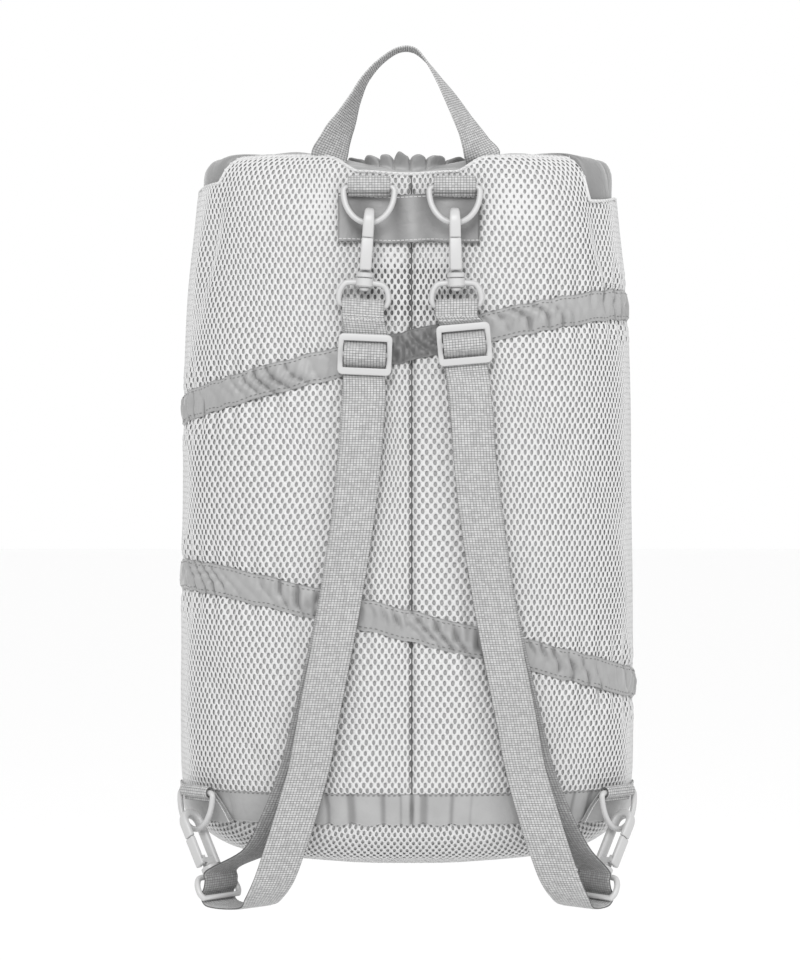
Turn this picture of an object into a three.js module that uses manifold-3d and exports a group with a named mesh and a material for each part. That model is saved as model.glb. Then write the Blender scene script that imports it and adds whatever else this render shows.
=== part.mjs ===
import * as THREE from "three";
import { mergeVertices } from "three/addons/utils/BufferGeometryUtils.js";
import Module from "manifold-3d";

// A mesh gym sack that is carried on the back, shown hanging by its haul loop.
// Millimetres, +Z up, the strap side faces -Y. The pieces are placed in the sack's own
// frame, where z = 0 is close to the bottom of the base and the middle of the tube is at
// x = y = 0. The whole sack is then shifted so that the origin is the hanging point.

// Cloth and webbing.
const GAP = 0.3;
const MESH_WALL = 2.2;
const NYLON = 1.2;
const WEBBING_WIDE = 28;
const WEBBING_THICK = 1.6;
const HAUL_WIDE = 25;

// The tube from the base seam up over the top corner and in to the neck of the mouth.
const BODY_ROWS = [
  { place: "base seam", z: 42, halfWidth: 153, front: 92, back: 90 },
  { place: "above the hem", z: 66, halfWidth: 157.5, front: 96, back: 94 },
  { place: "lower third", z: 180, halfWidth: 157.5, front: 98, back: 96 },
  { place: "middle", z: 250, halfWidth: 156.5, front: 98, back: 96 },
  { place: "upper third", z: 320, halfWidth: 156, front: 97, back: 95 },
  { place: "chest", z: 385, halfWidth: 153.5, front: 95, back: 92 },
  { place: "under the shoulder", z: 435, halfWidth: 148.5, front: 91, back: 87 },
  { place: "shoulder", z: 465, halfWidth: 145, front: 87, back: 81 },
  { place: "top corner", z: 479, halfWidth: 139, front: 81, back: 73 },
  { place: "top edge", z: 484, halfWidth: 127, front: 72, back: 64 },
  { place: "top", z: 483, halfWidth: 98, front: 66, back: 55 },
  { place: "gathers", z: 479, halfWidth: 64, front: 62, back: 40 },
  { place: "neck", z: 475.5, halfWidth: 41, front: 58, back: 24 },
];
const BASE_ROWS = [
  { place: "seam", z: 42 - GAP, halfWidth: 153, front: 92, back: 90 },
  { place: "under the hem", z: 32, halfWidth: 151.5, front: 91, back: 89 },
  { place: "turn", z: 18.5, halfWidth: 140, front: 85, back: 83 },
  { place: "slope", z: 6, halfWidth: 114, front: 69, back: 67 },
  { place: "floor", z: -2, halfWidth: 56, front: 33, back: 32 },
];
const ROUNDNESS = 2.4;
const RUFFLES = 16;
const COLUMNS = 3 * RUFFLES;

// Hollows (and, with a depth below zero, swells) in the strap side of the tube.
const SEAM_X = 3;
const HOLLOWS = [
  { place: "seam above", x: SEAM_X, z: 320, wide: 20, tall: 100, depth: 6 },
  { place: "seam below", x: SEAM_X, z: 110, wide: 18, tall: 80, depth: 3.5 },
  { place: "behind the hooks", x: SEAM_X, z: 428, wide: 52, tall: 46, depth: 9 },
  { place: "left shoulder", x: -96, z: 440, wide: 36, tall: 42, depth: -4 },
  { place: "right shoulder", x: 100, z: 440, wide: 36, tall: 42, depth: -4 },
  { place: "left cheek", x: -88, z: 255, wide: 48, tall: 60, depth: -3 },
  { place: "right cheek", x: 88, z: 245, wide: 48, tall: 70, depth: -3 },
];
const SHOULDER_ROW = 5.9;
const FRONT_FADE = { from: 8, to: 55 };
const BASE_FADE = 30;

// Height of the mesh's top edge, as a place along BODY_ROWS, round the mouth.
const RIM = [
  { arc: 0, row: 7.55 },
  { arc: 36, row: 7.6 },
  { arc: 64, row: 8.5 },
  { arc: 124, row: 8.7 },
  { arc: 148, row: 7.0 },
  { arc: 205, row: 6.85 },
  { arc: 420, row: 6.9 },
];
const FRONT_DIP = { depth: 7, arc: 44, from: 7.3, to: 8.6 };

// Gathered mouth.
const MOUTH_Y = -19;
const RUFFLE_RISE = 9;
const RUFFLE_WAVE = 3.4;
const RUFFLE_LIFT = 2;
const LOW_RUFFLE = 0.8;
const PLEAT_WAVE = 1.6;
const COLLAR_TUCK = 0.4;
const COLLAR_STOPS = [0.2, 0.4, 0.66, 0.85];
const TUCK_GAP = 1.2;
const HAUL_SLOT = { arc: 52.5, half: 30, gap: 5.2 };

// Tapes round the tube: height at the middle, slope across and rise on the strap side.
const TAPE_WIDE = 21;
const TAPE_EDGE = 1.0;
const TAPE_CROWN = 1.9;
const TAPE_GATHER = 0.5;
const TAPE_CINCH = { depth: 2, tall: 15 };
const UPPER_TAPE = { z: 346, slope: 0.236, rise: 6 };
const LOWER_TAPE = { z: 158, slope: -0.243, rise: 7 };
const HEM = { high: 52, crown: 2.3 };

// Patch and ring loops.
const PATCH = { middle: 1, wide: 95, low: 421.5, high: 450.5, gap: 1.2, columns: 8 };
const TAB = { high: 52.5, lowArc: 124, highArc: 136, endArc: 212, columns: 6 };
const UPPER_LOOP = { slot: 4, tail: 9 };
const LOWER_LOOP = { slot: 0.4, tail: 6 };

// Wire rings, snap hooks and sliders.
const WIRE = 2;
const WIRE_SIDES = 6;
const RING_HALF = 15;
const RING_DROP = 25.5;
const RING_CORNER = 3;
const RING_STOPS = 10;
const LOOP_STANDOFF = WIRE + GAP + WEBBING_THICK + 3 * GAP;
const HOOK = { top: 46.7, reach: 6, wide: 7.6, deep: 5, crown: 7.4, noseTip: 26.5, foot: 2, block: 10 };
const HOOK_SIDES = 8;
const CROWN_STOPS = 5;
const LATHE_SIDES = 10;
const HOOK_SEAT = HOOK.top - HOOK.crown - WIRE - 2 * GAP;
const GATE = { pivotZ: 7.5, thick: 3, wide: 4.8, pin: 0.8, root: 2.1, neck: 0.6 };
const GATE_SLOT = { deep: 8, low: 5.2 };
const PIN_SIDES = 8;
const COLLAR = { radius: 6, high: 4.5, chamfer: 1.5 };
const STEM = { radius: 2, drop: 6.8, headRadius: 3.2, head: 2.2 };
const BAIL = { bar: -18.5, eyeLow: -6.4, eyeHigh: -0.4, bore: 2.3 };
const BAIL_SIDE = [
  { x: 6.5, z: -3.4 },
  { x: 12.5, z: -4.3 },
  { x: 15.3, z: -7.8 },
  { x: 16.4, z: -11.9 },
  { x: 16.3, z: -15.6 },
  { x: 14.7, z: BAIL.bar },
];
const SLIDER = { wide: 36, tall: 27.4, side: 3.5, end: 4.8, middle: 3, thick: 2.4, corner: 3.5 };

// Where the hardware sits: the upper rings on the strap side, the lower ones at the corners.
const HOOK_SPREAD = 28.7;
const UPPER_BAR_Z = 458;
const UPPER_HOOK_CLEAR = 3;
const UPPER_SWAY = { left: 4, right: -1.2 };
const SLIDERS = {
  left: { x: -28.3, z: 345.5, tilt: -2.5 },
  right: { x: 37.9, z: 352.5, tilt: 5 },
};
const LOWER_RING = { x: 136, z: 50.5, lean: 4 };
const LOWER_HOOK = { slack: 4.5, sway: 33, out: 0, bailTurn: 88 };

// Shoulder strap, from under the slider down to the lower bail. The two straps lie either
// side of STRAP_X, and x is measured outwards from there.
const STRAP_X = 6.5;
const STRAP_FRONT = [
  { x: 35, z: 322 },
  { x: 40, z: 257 },
  { x: 50.5, z: 184 },
  { x: 66, z: 102 },
  { x: 72, z: 70 },
];
const STRAP_FRONT_FREE = [
  { x: 81, y: -102, z: 38, turn: 0 },
  { x: 88, y: -103, z: 16, turn: 0.1 },
  { x: 95.5, y: -101, z: -5, turn: 0.3 },
  { x: 102, y: -95.5, z: -17, turn: 0.6 },
  { x: 108, y: -86, z: -24, turn: 0.9 },
];
const STRAP_TURN = [
  { out: -1, up: -5.5 },
  { out: -3.6, up: 0 },
  { out: -2.4, up: 3.4 },
  { out: 2.4, up: 5.6 },
  { out: 6.8, up: 9.5 },
  { out: 9, up: 14 },
];
const STRAP_BACK_FREE = [
  { x: 103.5, y: -87, z: 15, turn: 0.6 },
  { x: 91, y: -93, z: 36, turn: 0.2 },
];
const STRAP_BACK = [
  { x: 78, z: 70 },
  { x: 70, z: 102 },
  { x: 51.5, z: 184 },
  { x: 41, z: 257 },
];
const STRAP_LIFT = { back: 4.4, front: 8.2 };
const FOLD_LENGTH = 7;
const QUARTERS = [0, 0.25, 0.5, 0.75, 1];

// Haul loop: turn is how far the webbing has twisted from facing front to edge on.
const HAUL_ROUTE = [
  { x: -51, y: -71, z: 484, turn: -6 },
  { x: -46.5, y: -74, z: 493, turn: 32 },
  { x: -41.5, y: -76, z: 505, turn: 58 },
  { x: -35.4, y: -76, z: 518.5, turn: 74 },
  { x: -27.9, y: -76, z: 533, turn: 83 },
  { x: -16.5, y: -76, z: 545.5, turn: 88 },
  { x: -4.5, y: -76, z: 552.5, turn: 90 },
  { x: 4.5, y: -76, z: 552, turn: 90 },
  { x: 12, y: -76, z: 545.5, turn: 86 },
  { x: 22.5, y: -76, z: 530.7, turn: 76 },
  { x: 29, y: -76, z: 520.5, turn: 68 },
  { x: 37.8, y: -76, z: 505, turn: 56 },
  { x: 44, y: -74, z: 493, turn: 40 },
  { x: 49.5, y: -70, z: 484, turn: 24 },
];
const HAUL_TUCK = [0.8, 0.4, 0];
const HAUL_APEX = 6;

// Colours of the four materials.
const MESH_LOOK = { color: "#dcdcdc", roughness: 0.9, metalness: 0 };
const NYLON_LOOK = { color: "#a3a3a3", roughness: 0.6, metalness: 0 };
const WEBBING_LOOK = { color: "#bebebe", roughness: 0.85, metalness: 0 };
const HARDWARE_LOOK = { color: "#e4e4e4", roughness: 0.45, metalness: 0 };

const { Vector3 } = THREE;
const { degToRad, lerp, smoothstep } = THREE.MathUtils;
const wasm = await Module();
wasm.setup();

const range = (count) => Array.from({ length: count }, (_, k) => k);
const bell = (x) => Math.exp(-x * x);
const signedPower = (base, power) => Math.sign(base) * Math.abs(base) ** power;

// Solids

function meshVolume(points, index) {
  let volume = 0;
  for (let k = 0; k < index.length; k += 3) {
    const [a, b, c] = [points[index[k]], points[index[k + 1]], points[index[k + 2]]];
    volume += a.dot(new Vector3().crossVectors(b, c));
  }
  return volume;
}

// A closed solid skinned over rings of points. Looped rings close on themselves, and an open
// run gets a cap of strips across each end. Each face is split along its shorter diagonal, so that the
// two sides of a twisted wall bend alike. The faces are turned outwards at the end.
function skin(rings, looped = false) {
  const around = rings[0].length;
  const points = rings.flat();
  const index = [];
  for (const r of range(looped ? rings.length : rings.length - 1)) {
    const here = r * around;
    const next = ((r + 1) % rings.length) * around;
    for (const k of range(around)) {
      const l = (k + 1) % around;
      const [a, b, c, d] = [here + k, here + l, next + l, next + k];
      const [ac, bd] = [[a, c], [b, d]].map(([i, j]) => points[i].distanceTo(points[j]));
      index.push(...(ac < bd ? [a, b, c, a, c, d] : [a, b, d, b, c, d]));
    }
  }
  if (!looped) {
    const last = (rings.length - 1) * around;
    for (const k of range(around / 2 - 1)) {
      const [a, b, c, d] = [k, k + 1, around - 2 - k, around - 1 - k];
      index.push(a, c, b, a, d, c);
      index.push(last + a, last + b, last + c, last + a, last + c, last + d);
    }
  }
  if (meshVolume(points, index) < 0) index.reverse();
  const geometry = new THREE.BufferGeometry().setFromPoints(points);
  geometry.setIndex(index);
  return geometry;
}

function toManifold(geometry) {
  const bare = geometry.clone();
  bare.deleteAttribute("normal");
  bare.deleteAttribute("uv");
  const merged = mergeVertices(bare, 1e-4);
  return new wasm.Manifold(
    new wasm.Mesh({
      numProp: 3,
      vertProperties: new Float32Array(merged.attributes.position.array),
      triVerts: new Uint32Array(merged.index.array),
    }),
  );
}

function fromManifold(solid) {
  const mesh = solid.getMesh();
  const geometry = new THREE.BufferGeometry();
  geometry.setAttribute("position", new THREE.BufferAttribute(mesh.vertProperties, 3));
  geometry.setIndex(new THREE.BufferAttribute(mesh.triVerts, 1));
  return geometry;
}

const join = (...parts) => fromManifold(parts.map(toManifold).reduce((a, b) => a.add(b)));
const cut = (body, ...tools) =>
  fromManifold(tools.map(toManifold).reduce((a, b) => a.subtract(b), toManifold(body)));

function piece(name, geometry, look) {
  const flat = geometry.index ? geometry.toNonIndexed() : geometry;
  flat.computeVertexNormals();
  const mesh = new THREE.Mesh(flat, new THREE.MeshStandardMaterial(look));
  mesh.name = name;
  return mesh;
}

// The tube's surface, by arc round the tube from the seam side's middle and row up it

function rowAt(rows, t) {
  const last = rows.length - 1;
  const low = Math.min(Math.max(Math.floor(t), 0), last - 1);
  const f = t - low;
  const row = {};
  for (const key of ["z", "halfWidth", "front", "back"]) {
    const [a, b, c, d] = [-1, 0, 1, 2].map(
      (step) => rows[Math.min(Math.max(low + step, 0), last)][key],
    );
    const slopeB = (c - a) / 2;
    const slopeC = (d - b) / 2;
    const bend = 2 * b - 2 * c + slopeB + slopeC;
    row[key] = ((bend * f - 3 * b + 3 * c - 2 * slopeB - slopeC) * f + slopeB) * f + b;
  }
  return row;
}

function ringPoint(row, angle) {
  const depth = Math.cos(angle) > 0 ? row.front : row.back;
  const x = row.halfWidth * signedPower(Math.sin(angle), 2 / ROUNDNESS);
  const y = -depth * signedPower(Math.cos(angle), 2 / ROUNDNESS);
  return new Vector3(x, y, row.z);
}

const SEARCH_STEPS = 24;
const RING_STEPS = 1440;
const RING_ARCS = [0];
for (const k of range(RING_STEPS)) {
  const [a, b] = [k, k + 1].map((s) => ringPoint(BODY_ROWS[3], (s / RING_STEPS) * 2 * Math.PI));
  RING_ARCS.push(RING_ARCS[k] + a.distanceTo(b));
}
const ROUND = RING_ARCS[RING_STEPS];

function ringAngle(arc) {
  const along = ((arc % ROUND) + ROUND) % ROUND;
  let low = 0;
  let high = RING_STEPS;
  while (high - low > 1) {
    const middle = (low + high) >> 1;
    if (RING_ARCS[middle] <= along) low = middle;
    else high = middle;
  }
  const part = (along - RING_ARCS[low]) / (RING_ARCS[high] - RING_ARCS[low]);
  return ((low + part) / RING_STEPS) * 2 * Math.PI;
}

const foldedArc = (arc) => Math.abs(arc > ROUND / 2 ? arc - ROUND : arc);

function tapeHeight(tape, point) {
  const facing = Math.max(0, -point.y / BODY_ROWS[3].front);
  return tape.z + tape.slope * point.x + tape.rise * facing;
}

function hollowDepth(point) {
  const aboveHem = smoothstep(point.z, HEM.high, HEM.high + BASE_FADE);
  const facing = aboveHem * smoothstep(-point.y, FRONT_FADE.from, FRONT_FADE.to);
  const hollows = HOLLOWS.map(
    (h) => h.depth * bell((point.x - h.x) / h.wide) * bell((point.z - h.z) / h.tall),
  );
  const cinches = [UPPER_TAPE, LOWER_TAPE].map(
    (tape) => TAPE_CINCH.depth * bell((point.z - tapeHeight(tape, point)) / TAPE_CINCH.tall),
  );
  const sum = (list) => list.reduce((a, b) => a + b, 0);
  return facing * sum(hollows) + sum(cinches);
}

function bodyPoint(arc, t) {
  const angle = ringAngle(arc);
  const row = rowAt(BODY_ROWS, t);
  const point = ringPoint(row, angle);
  const depth = Math.cos(angle) > 0 ? row.front : row.back;
  const outward = new Vector3(
    signedPower(Math.sin(angle), 2 - 2 / ROUNDNESS) / row.halfWidth,
    -signedPower(Math.cos(angle), 2 - 2 / ROUNDNESS) / depth,
    0,
  ).normalize();
  point.addScaledVector(outward, -hollowDepth(point));
  const dip = smoothstep(t, FRONT_DIP.from, FRONT_DIP.to);
  point.z -= FRONT_DIP.depth * dip * bell(foldedArc(arc) / FRONT_DIP.arc);
  return point;
}

function basePoint(arc, t) {
  return ringPoint(rowAt(BASE_ROWS, t), ringAngle(arc));
}

function surfaceNormal(surface, arc, t) {
  const [stepArc, stepRow] = [1.5, 0.02];
  const across = surface(arc + stepArc, t).sub(surface(arc - stepArc, t));
  const up = surface(arc, t + stepRow).sub(surface(arc, t - stepRow));
  return across.cross(up).normalize();
}

const bodyOffset = (arc, t, d) =>
  bodyPoint(arc, t).addScaledVector(surfaceNormal(bodyPoint, arc, t), d);

// Row at which the tube reaches a height that depends on the point there.
function rowAtHeight(arc, height) {
  let low = 0;
  let high = BODY_ROWS.length - 5;
  for (const _ of range(SEARCH_STEPS)) {
    const middle = (low + high) / 2;
    const point = bodyPoint(arc, middle);
    if (point.z < height(point)) low = middle;
    else high = middle;
  }
  return (low + high) / 2;
}

// Arc and row of the strap side's point at a given x and z.
function locate(x, z) {
  let arc = x;
  let t = 0;
  for (const _ of range(SEARCH_STEPS)) {
    t = rowAtHeight(arc, () => z);
    arc += x - bodyPoint(arc, t).x;
  }
  return { arc, t };
}

const offsetAt = (x, z, d) => {
  const { arc, t } = locate(x, z);
  return bodyOffset(arc, t, d);
};

function rimRow(arc) {
  const folded = foldedArc(((arc % ROUND) + ROUND) % ROUND);
  const k = Math.max(1, RIM.findIndex((entry) => entry.arc >= folded));
  const part = smoothstep(folded, RIM[k - 1].arc, RIM[k].arc);
  return lerp(RIM[k - 1].row, RIM[k].row, part);
}

const columnArcs = (count) => range(count).map((k) => (k / count) * ROUND);
const between = (from, to, steps) => range(steps).map((k) => lerp(from, to, (k + 1) / steps));

// Mesh

function bodyRowsAt(arc) {
  const edge = (tape, side) =>
    rowAtHeight(arc, (point) => tapeHeight(tape, point) + (side * TAPE_WIDE) / 2);
  const stops = [
    { row: rowAtHeight(arc, () => HEM.high), steps: 1 },
    { row: edge(LOWER_TAPE, -1), steps: 2 },
    { row: edge(LOWER_TAPE, 1), steps: 1 },
    { row: edge(UPPER_TAPE, -1), steps: 2 },
    { row: edge(UPPER_TAPE, 1), steps: 1 },
    { row: SHOULDER_ROW, steps: 2 },
    { row: rimRow(arc), steps: 4 },
  ];
  const rows = [0];
  for (const stop of stops) rows.push(...between(rows.at(-1), stop.row, stop.steps));
  return rows;
}

function meshBody() {
  const rings = columnArcs(COLUMNS).map((arc) => {
    const rows = bodyRowsAt(arc);
    const outer = rows.map((t) => bodyPoint(arc, t));
    const inner = rows.map((t) => bodyOffset(arc, t, -MESH_WALL));
    return [...outer, ...inner.reverse()];
  });
  return skin(rings, true);
}

function meshBase() {
  const arcs = columnArcs(COLUMNS);
  const rows = range(BASE_ROWS.length);
  const outer = rows.map((t) => arcs.map((arc) => basePoint(arc, t)));
  const inner = rows.map((t) =>
    arcs.map((arc) => {
      const out = surfaceNormal(basePoint, arc, t);
      const point = basePoint(arc, t).addScaledVector(out, MESH_WALL);
      if (t === 0) point.z = BASE_ROWS[0].z;
      return point;
    }),
  );
  return skin([...outer.reverse(), ...inner]);
}

// Gathered nylon

// One ridge and two valleys to each ruffle, a little higher on every other one.
const ruffle = (column) => Math.cos((column / 3) * 2 * Math.PI) * (column % 2 ? 1 : LOW_RUFFLE);

const nearHaul = (arc) => bell((foldedArc(arc) - HAUL_SLOT.arc) / HAUL_SLOT.half);

// The collar starts inside the mesh's top edge, runs in over the top with pleats that grow
// towards the neck, and stands up there as a ruffle. Its inner face is `under` below.
function collarPoints(arc, column, under) {
  const rim = rimRow(arc);
  const neck = BODY_ROWS.length - 1;
  const wave = ruffle(column);
  const inside = MESH_WALL + lerp(TUCK_GAP, HAUL_SLOT.gap, nearHaul(arc));
  const points = [rim - COLLAR_TUCK, rim].map((t) => bodyOffset(arc, t, -inside - under));
  for (const f of COLLAR_STOPS) {
    const t = lerp(rim, neck, f);
    const tucked = inside * nearHaul(arc) * (1 - f);
    points.push(bodyOffset(arc, t, PLEAT_WAVE * wave * f - tucked - under));
  }
  const centre = bodyPoint(arc, neck);
  const out = new Vector3(centre.x, centre.y - MOUTH_Y, 0).normalize();
  const foot = centre.clone().addScaledVector(out, -under);
  foot.z = BODY_ROWS[neck].z + PLEAT_WAVE * wave - under;
  const lip = centre.clone().addScaledVector(out, RUFFLE_WAVE * wave - under);
  lip.z = BODY_ROWS[neck].z + RUFFLE_RISE + RUFFLE_LIFT * wave;
  return [...points, foot, lip];
}

function mouthCollar() {
  const rings = columnArcs(COLUMNS).map((arc, column) => {
    const [outer, inner] = [0, NYLON].map((under) => collarPoints(arc, column, under));
    return [...outer, ...inner.reverse()];
  });
  return skin(rings, true);
}

// A tape lies on the tube between two rows, swelling to a crown along its middle.
function tape(height) {
  const rings = columnArcs(COLUMNS).map((arc, k) => {
    const [low, high] = [-1, 1].map((side) =>
      rowAtHeight(arc, (point) => tapeHeight(height, point) + (side * TAPE_WIDE) / 2),
    );
    const crown = TAPE_CROWN + TAPE_GATHER * (k % 2 ? 1 : -1);
    return [
      bodyOffset(arc, low, GAP),
      bodyOffset(arc, high, GAP),
      bodyOffset(arc, high, GAP + TAPE_EDGE),
      bodyOffset(arc, (low + high) / 2, GAP + crown),
      bodyOffset(arc, low, GAP + TAPE_EDGE),
    ];
  });
  return skin(rings, true);
}

function hem() {
  const rings = columnArcs(COLUMNS).map((arc, k) => {
    const high = rowAtHeight(arc, () => HEM.high);
    const under = surfaceNormal(basePoint, arc, 1).negate();
    const low = basePoint(arc, 1);
    const crown = HEM.crown + TAPE_GATHER * (k % 2 ? 1 : -1);
    return [
      low.clone().addScaledVector(under, GAP),
      bodyOffset(arc, 0, GAP),
      bodyOffset(arc, high, GAP),
      bodyOffset(arc, high, GAP + TAPE_EDGE),
      bodyOffset(arc, 0, GAP + crown),
      low.clone().addScaledVector(under, GAP + TAPE_EDGE),
    ];
  });
  return skin(rings, true);
}

function patch() {
  const left = PATCH.middle - PATCH.wide / 2;
  const rings = range(PATCH.columns + 1).map((k) => {
    const x = left + (k / PATCH.columns) * PATCH.wide;
    const levels = [0, 0.5, 1].map((f) => lerp(PATCH.low, PATCH.high, f));
    const under = levels.map((z) => offsetAt(x, z, PATCH.gap));
    const over = levels.map((z) => offsetAt(x, z, PATCH.gap + NYLON));
    return [...under, ...over.reverse()];
  });
  return skin(rings);
}

function cornerTab(side) {
  const lift = HEM.crown + TAPE_GATHER + 3 * GAP;
  const rings = range(TAB.columns + 1).map((k) => {
    const f = k / TAB.columns;
    const arcs = [TAB.lowArc, TAB.highArc].map((arc) => side * lerp(arc, TAB.endArc, f));
    const low = basePoint(arcs[0], 1);
    const under = surfaceNormal(basePoint, arcs[0], 1).negate();
    const high = rowAtHeight(arcs[1], () => TAB.high);
    const middle = (arcs[0] + arcs[1]) / 2;
    return [
      low.clone().addScaledVector(under, lift),
      bodyOffset(middle, 0, lift),
      bodyOffset(arcs[1], high, lift),
      bodyOffset(arcs[1], high, lift + NYLON),
      bodyOffset(middle, 0, lift + NYLON),
      low.clone().addScaledVector(under, lift + NYLON),
    ];
  });
  return skin(rings);
}

// Webbing

// A ribbon along a route of stops, each with the direction that its width lies in.
function ribbon(stops, wide, stepsPerStop) {
  const route = new THREE.CatmullRomCurve3(stops.map((stop) => stop.at), false, "centripetal");
  const widths = new THREE.CatmullRomCurve3(stops.map((stop) => stop.across));
  const count = (stops.length - 1) * stepsPerStop;
  const rings = range(count + 1).map((k) => {
    const middle = route.getPoint(k / count);
    const along = route.getTangent(k / count);
    const across = widths.getPoint(k / count).setLength(wide / 2);
    const face = across.clone().cross(along).setLength(WEBBING_THICK / 2);
    return [
      middle.clone().add(across).add(face),
      middle.clone().sub(across).add(face),
      middle.clone().sub(across).sub(face),
      middle.clone().add(across).sub(face),
    ];
  });
  return skin(rings);
}

function haulLoop() {
  const depth = MESH_WALL + HAUL_SLOT.gap / 2;
  const last = HAUL_ROUTE.length - 1;
  const direction = (k) => {
    const [from, to] = [HAUL_ROUTE[Math.max(k - 1, 0)], HAUL_ROUTE[Math.min(k + 1, last)]];
    return new Vector3(to.x - from.x, 0, to.z - from.z).normalize();
  };
  const free = HAUL_ROUTE.map((row, k) => {
    const run = direction(k);
    const flat = new Vector3(run.z, 0, -run.x).multiplyScalar(k < HAUL_APEX ? 1 : -1);
    const turn = degToRad(row.turn);
    const across = flat.multiplyScalar(Math.cos(turn)).add(new Vector3(0, Math.sin(turn), 0));
    return { at: new Vector3(row.x, row.y, row.z), across };
  });
  const tucked = (arc, below) => {
    const [left, right] = [-1, 1].map((side) => {
      const edge = arc + (side * HAUL_WIDE) / 2;
      return bodyOffset(edge, rimRow(edge) - below, -depth);
    });
    return { at: left.clone().lerp(right, 0.5), across: right.sub(left) };
  };
  const stops = [
    ...HAUL_TUCK.map((below) => tucked(-HAUL_SLOT.arc, below)),
    ...free,
    ...HAUL_TUCK.map((below) => tucked(HAUL_SLOT.arc, below)).reverse(),
  ];
  return ribbon(stops, HAUL_WIDE, 1);
}

// Webbing folded round the bar of a ring, with its sewn tails below. The bar lies on the x
// axis and the sack is on the +y side.
function ringLoop({ slot, tail }) {
  const hole = WIRE + GAP;
  const outer = hole + WEBBING_THICK;
  const shape = new THREE.Shape();
  shape.moveTo(outer, slot);
  shape.absarc(0, slot, outer, 0, Math.PI, false);
  shape.lineTo(-outer, 0);
  shape.absarc(0, 0, outer, Math.PI, 1.6 * Math.PI, false);
  shape.lineTo(LOOP_STANDOFF - GAP - WEBBING_THICK * 2, -tail);
  shape.lineTo(LOOP_STANDOFF - GAP, -tail);
  shape.lineTo(LOOP_STANDOFF - GAP, 0);
  const eye = new THREE.Path();
  eye.moveTo(hole, 0);
  eye.lineTo(hole, slot);
  eye.absarc(0, slot, hole, 0, Math.PI, false);
  eye.lineTo(-hole, 0);
  eye.absarc(0, 0, hole, Math.PI, 2 * Math.PI, false);
  shape.holes.push(eye);
  const geometry = new THREE.ExtrudeGeometry(shape, {
    depth: WEBBING_WIDE,
    bevelEnabled: false,
    curveSegments: 3,
  });
  geometry.translate(0, 0, -WEBBING_WIDE / 2);
  geometry.applyMatrix4(
    new THREE.Matrix4().makeBasis(
      new Vector3(0, 1, 0),
      new Vector3(0, 0, 1),
      new Vector3(1, 0, 0),
    ),
  );
  return geometry;
}

// Hardware. Each piece is made round its own origin and placed by its group.

// Round wire along a flat closed path in the xz plane.
function wireLoop(path) {
  const rings = path.map((point, k) => {
    const before = path.at(k - 1);
    const after = path[(k + 1) % path.length];
    const run = new Vector3(after[0] - before[0], 0, after[1] - before[1]).normalize();
    const side = new Vector3(run.z, 0, -run.x);
    return range(WIRE_SIDES).map((s) => {
      const turn = (s / WIRE_SIDES) * 2 * Math.PI;
      return new Vector3(point[0], 0, point[1])
        .addScaledVector(side, WIRE * Math.cos(turn))
        .add(new Vector3(0, WIRE * Math.sin(turn), 0));
    });
  });
  return skin(rings, true);
}

// D ring: its bar is on the x axis, and its bow hangs down.
function dRing() {
  const half = RING_HALF + WIRE;
  const path = [];
  for (const k of range(RING_STOPS + 1)) {
    const turn = (k / RING_STOPS) * Math.PI;
    path.push([half * Math.cos(turn), -RING_CORNER - (RING_DROP - RING_CORNER) * Math.sin(turn)]);
  }
  const round = RING_CORNER * (1 - Math.SQRT1_2);
  path.push([-half + round, -round], [-half + RING_CORNER, 0]);
  path.push([half - RING_CORNER, 0], [half - round, -round]);
  return wireLoop(path);
}

const lathe = (profile, sides) => {
  const points = profile.map(([r, z]) => new THREE.Vector2(r, z));
  const geometry = new THREE.LatheGeometry(points, sides);
  geometry.rotateX(Math.PI / 2);
  return geometry;
};

function box(wide, deep, y, low, high) {
  const geometry = new THREE.BoxGeometry(wide, deep, high - low);
  geometry.translate(0, y, (low + high) / 2);
  return geometry;
}

function crossPin(radius, length, y, z) {
  const geometry = new THREE.CylinderGeometry(radius, radius, length, PIN_SIDES);
  geometry.rotateZ(Math.PI / 2);
  geometry.translate(0, y, z);
  return geometry;
}

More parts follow.
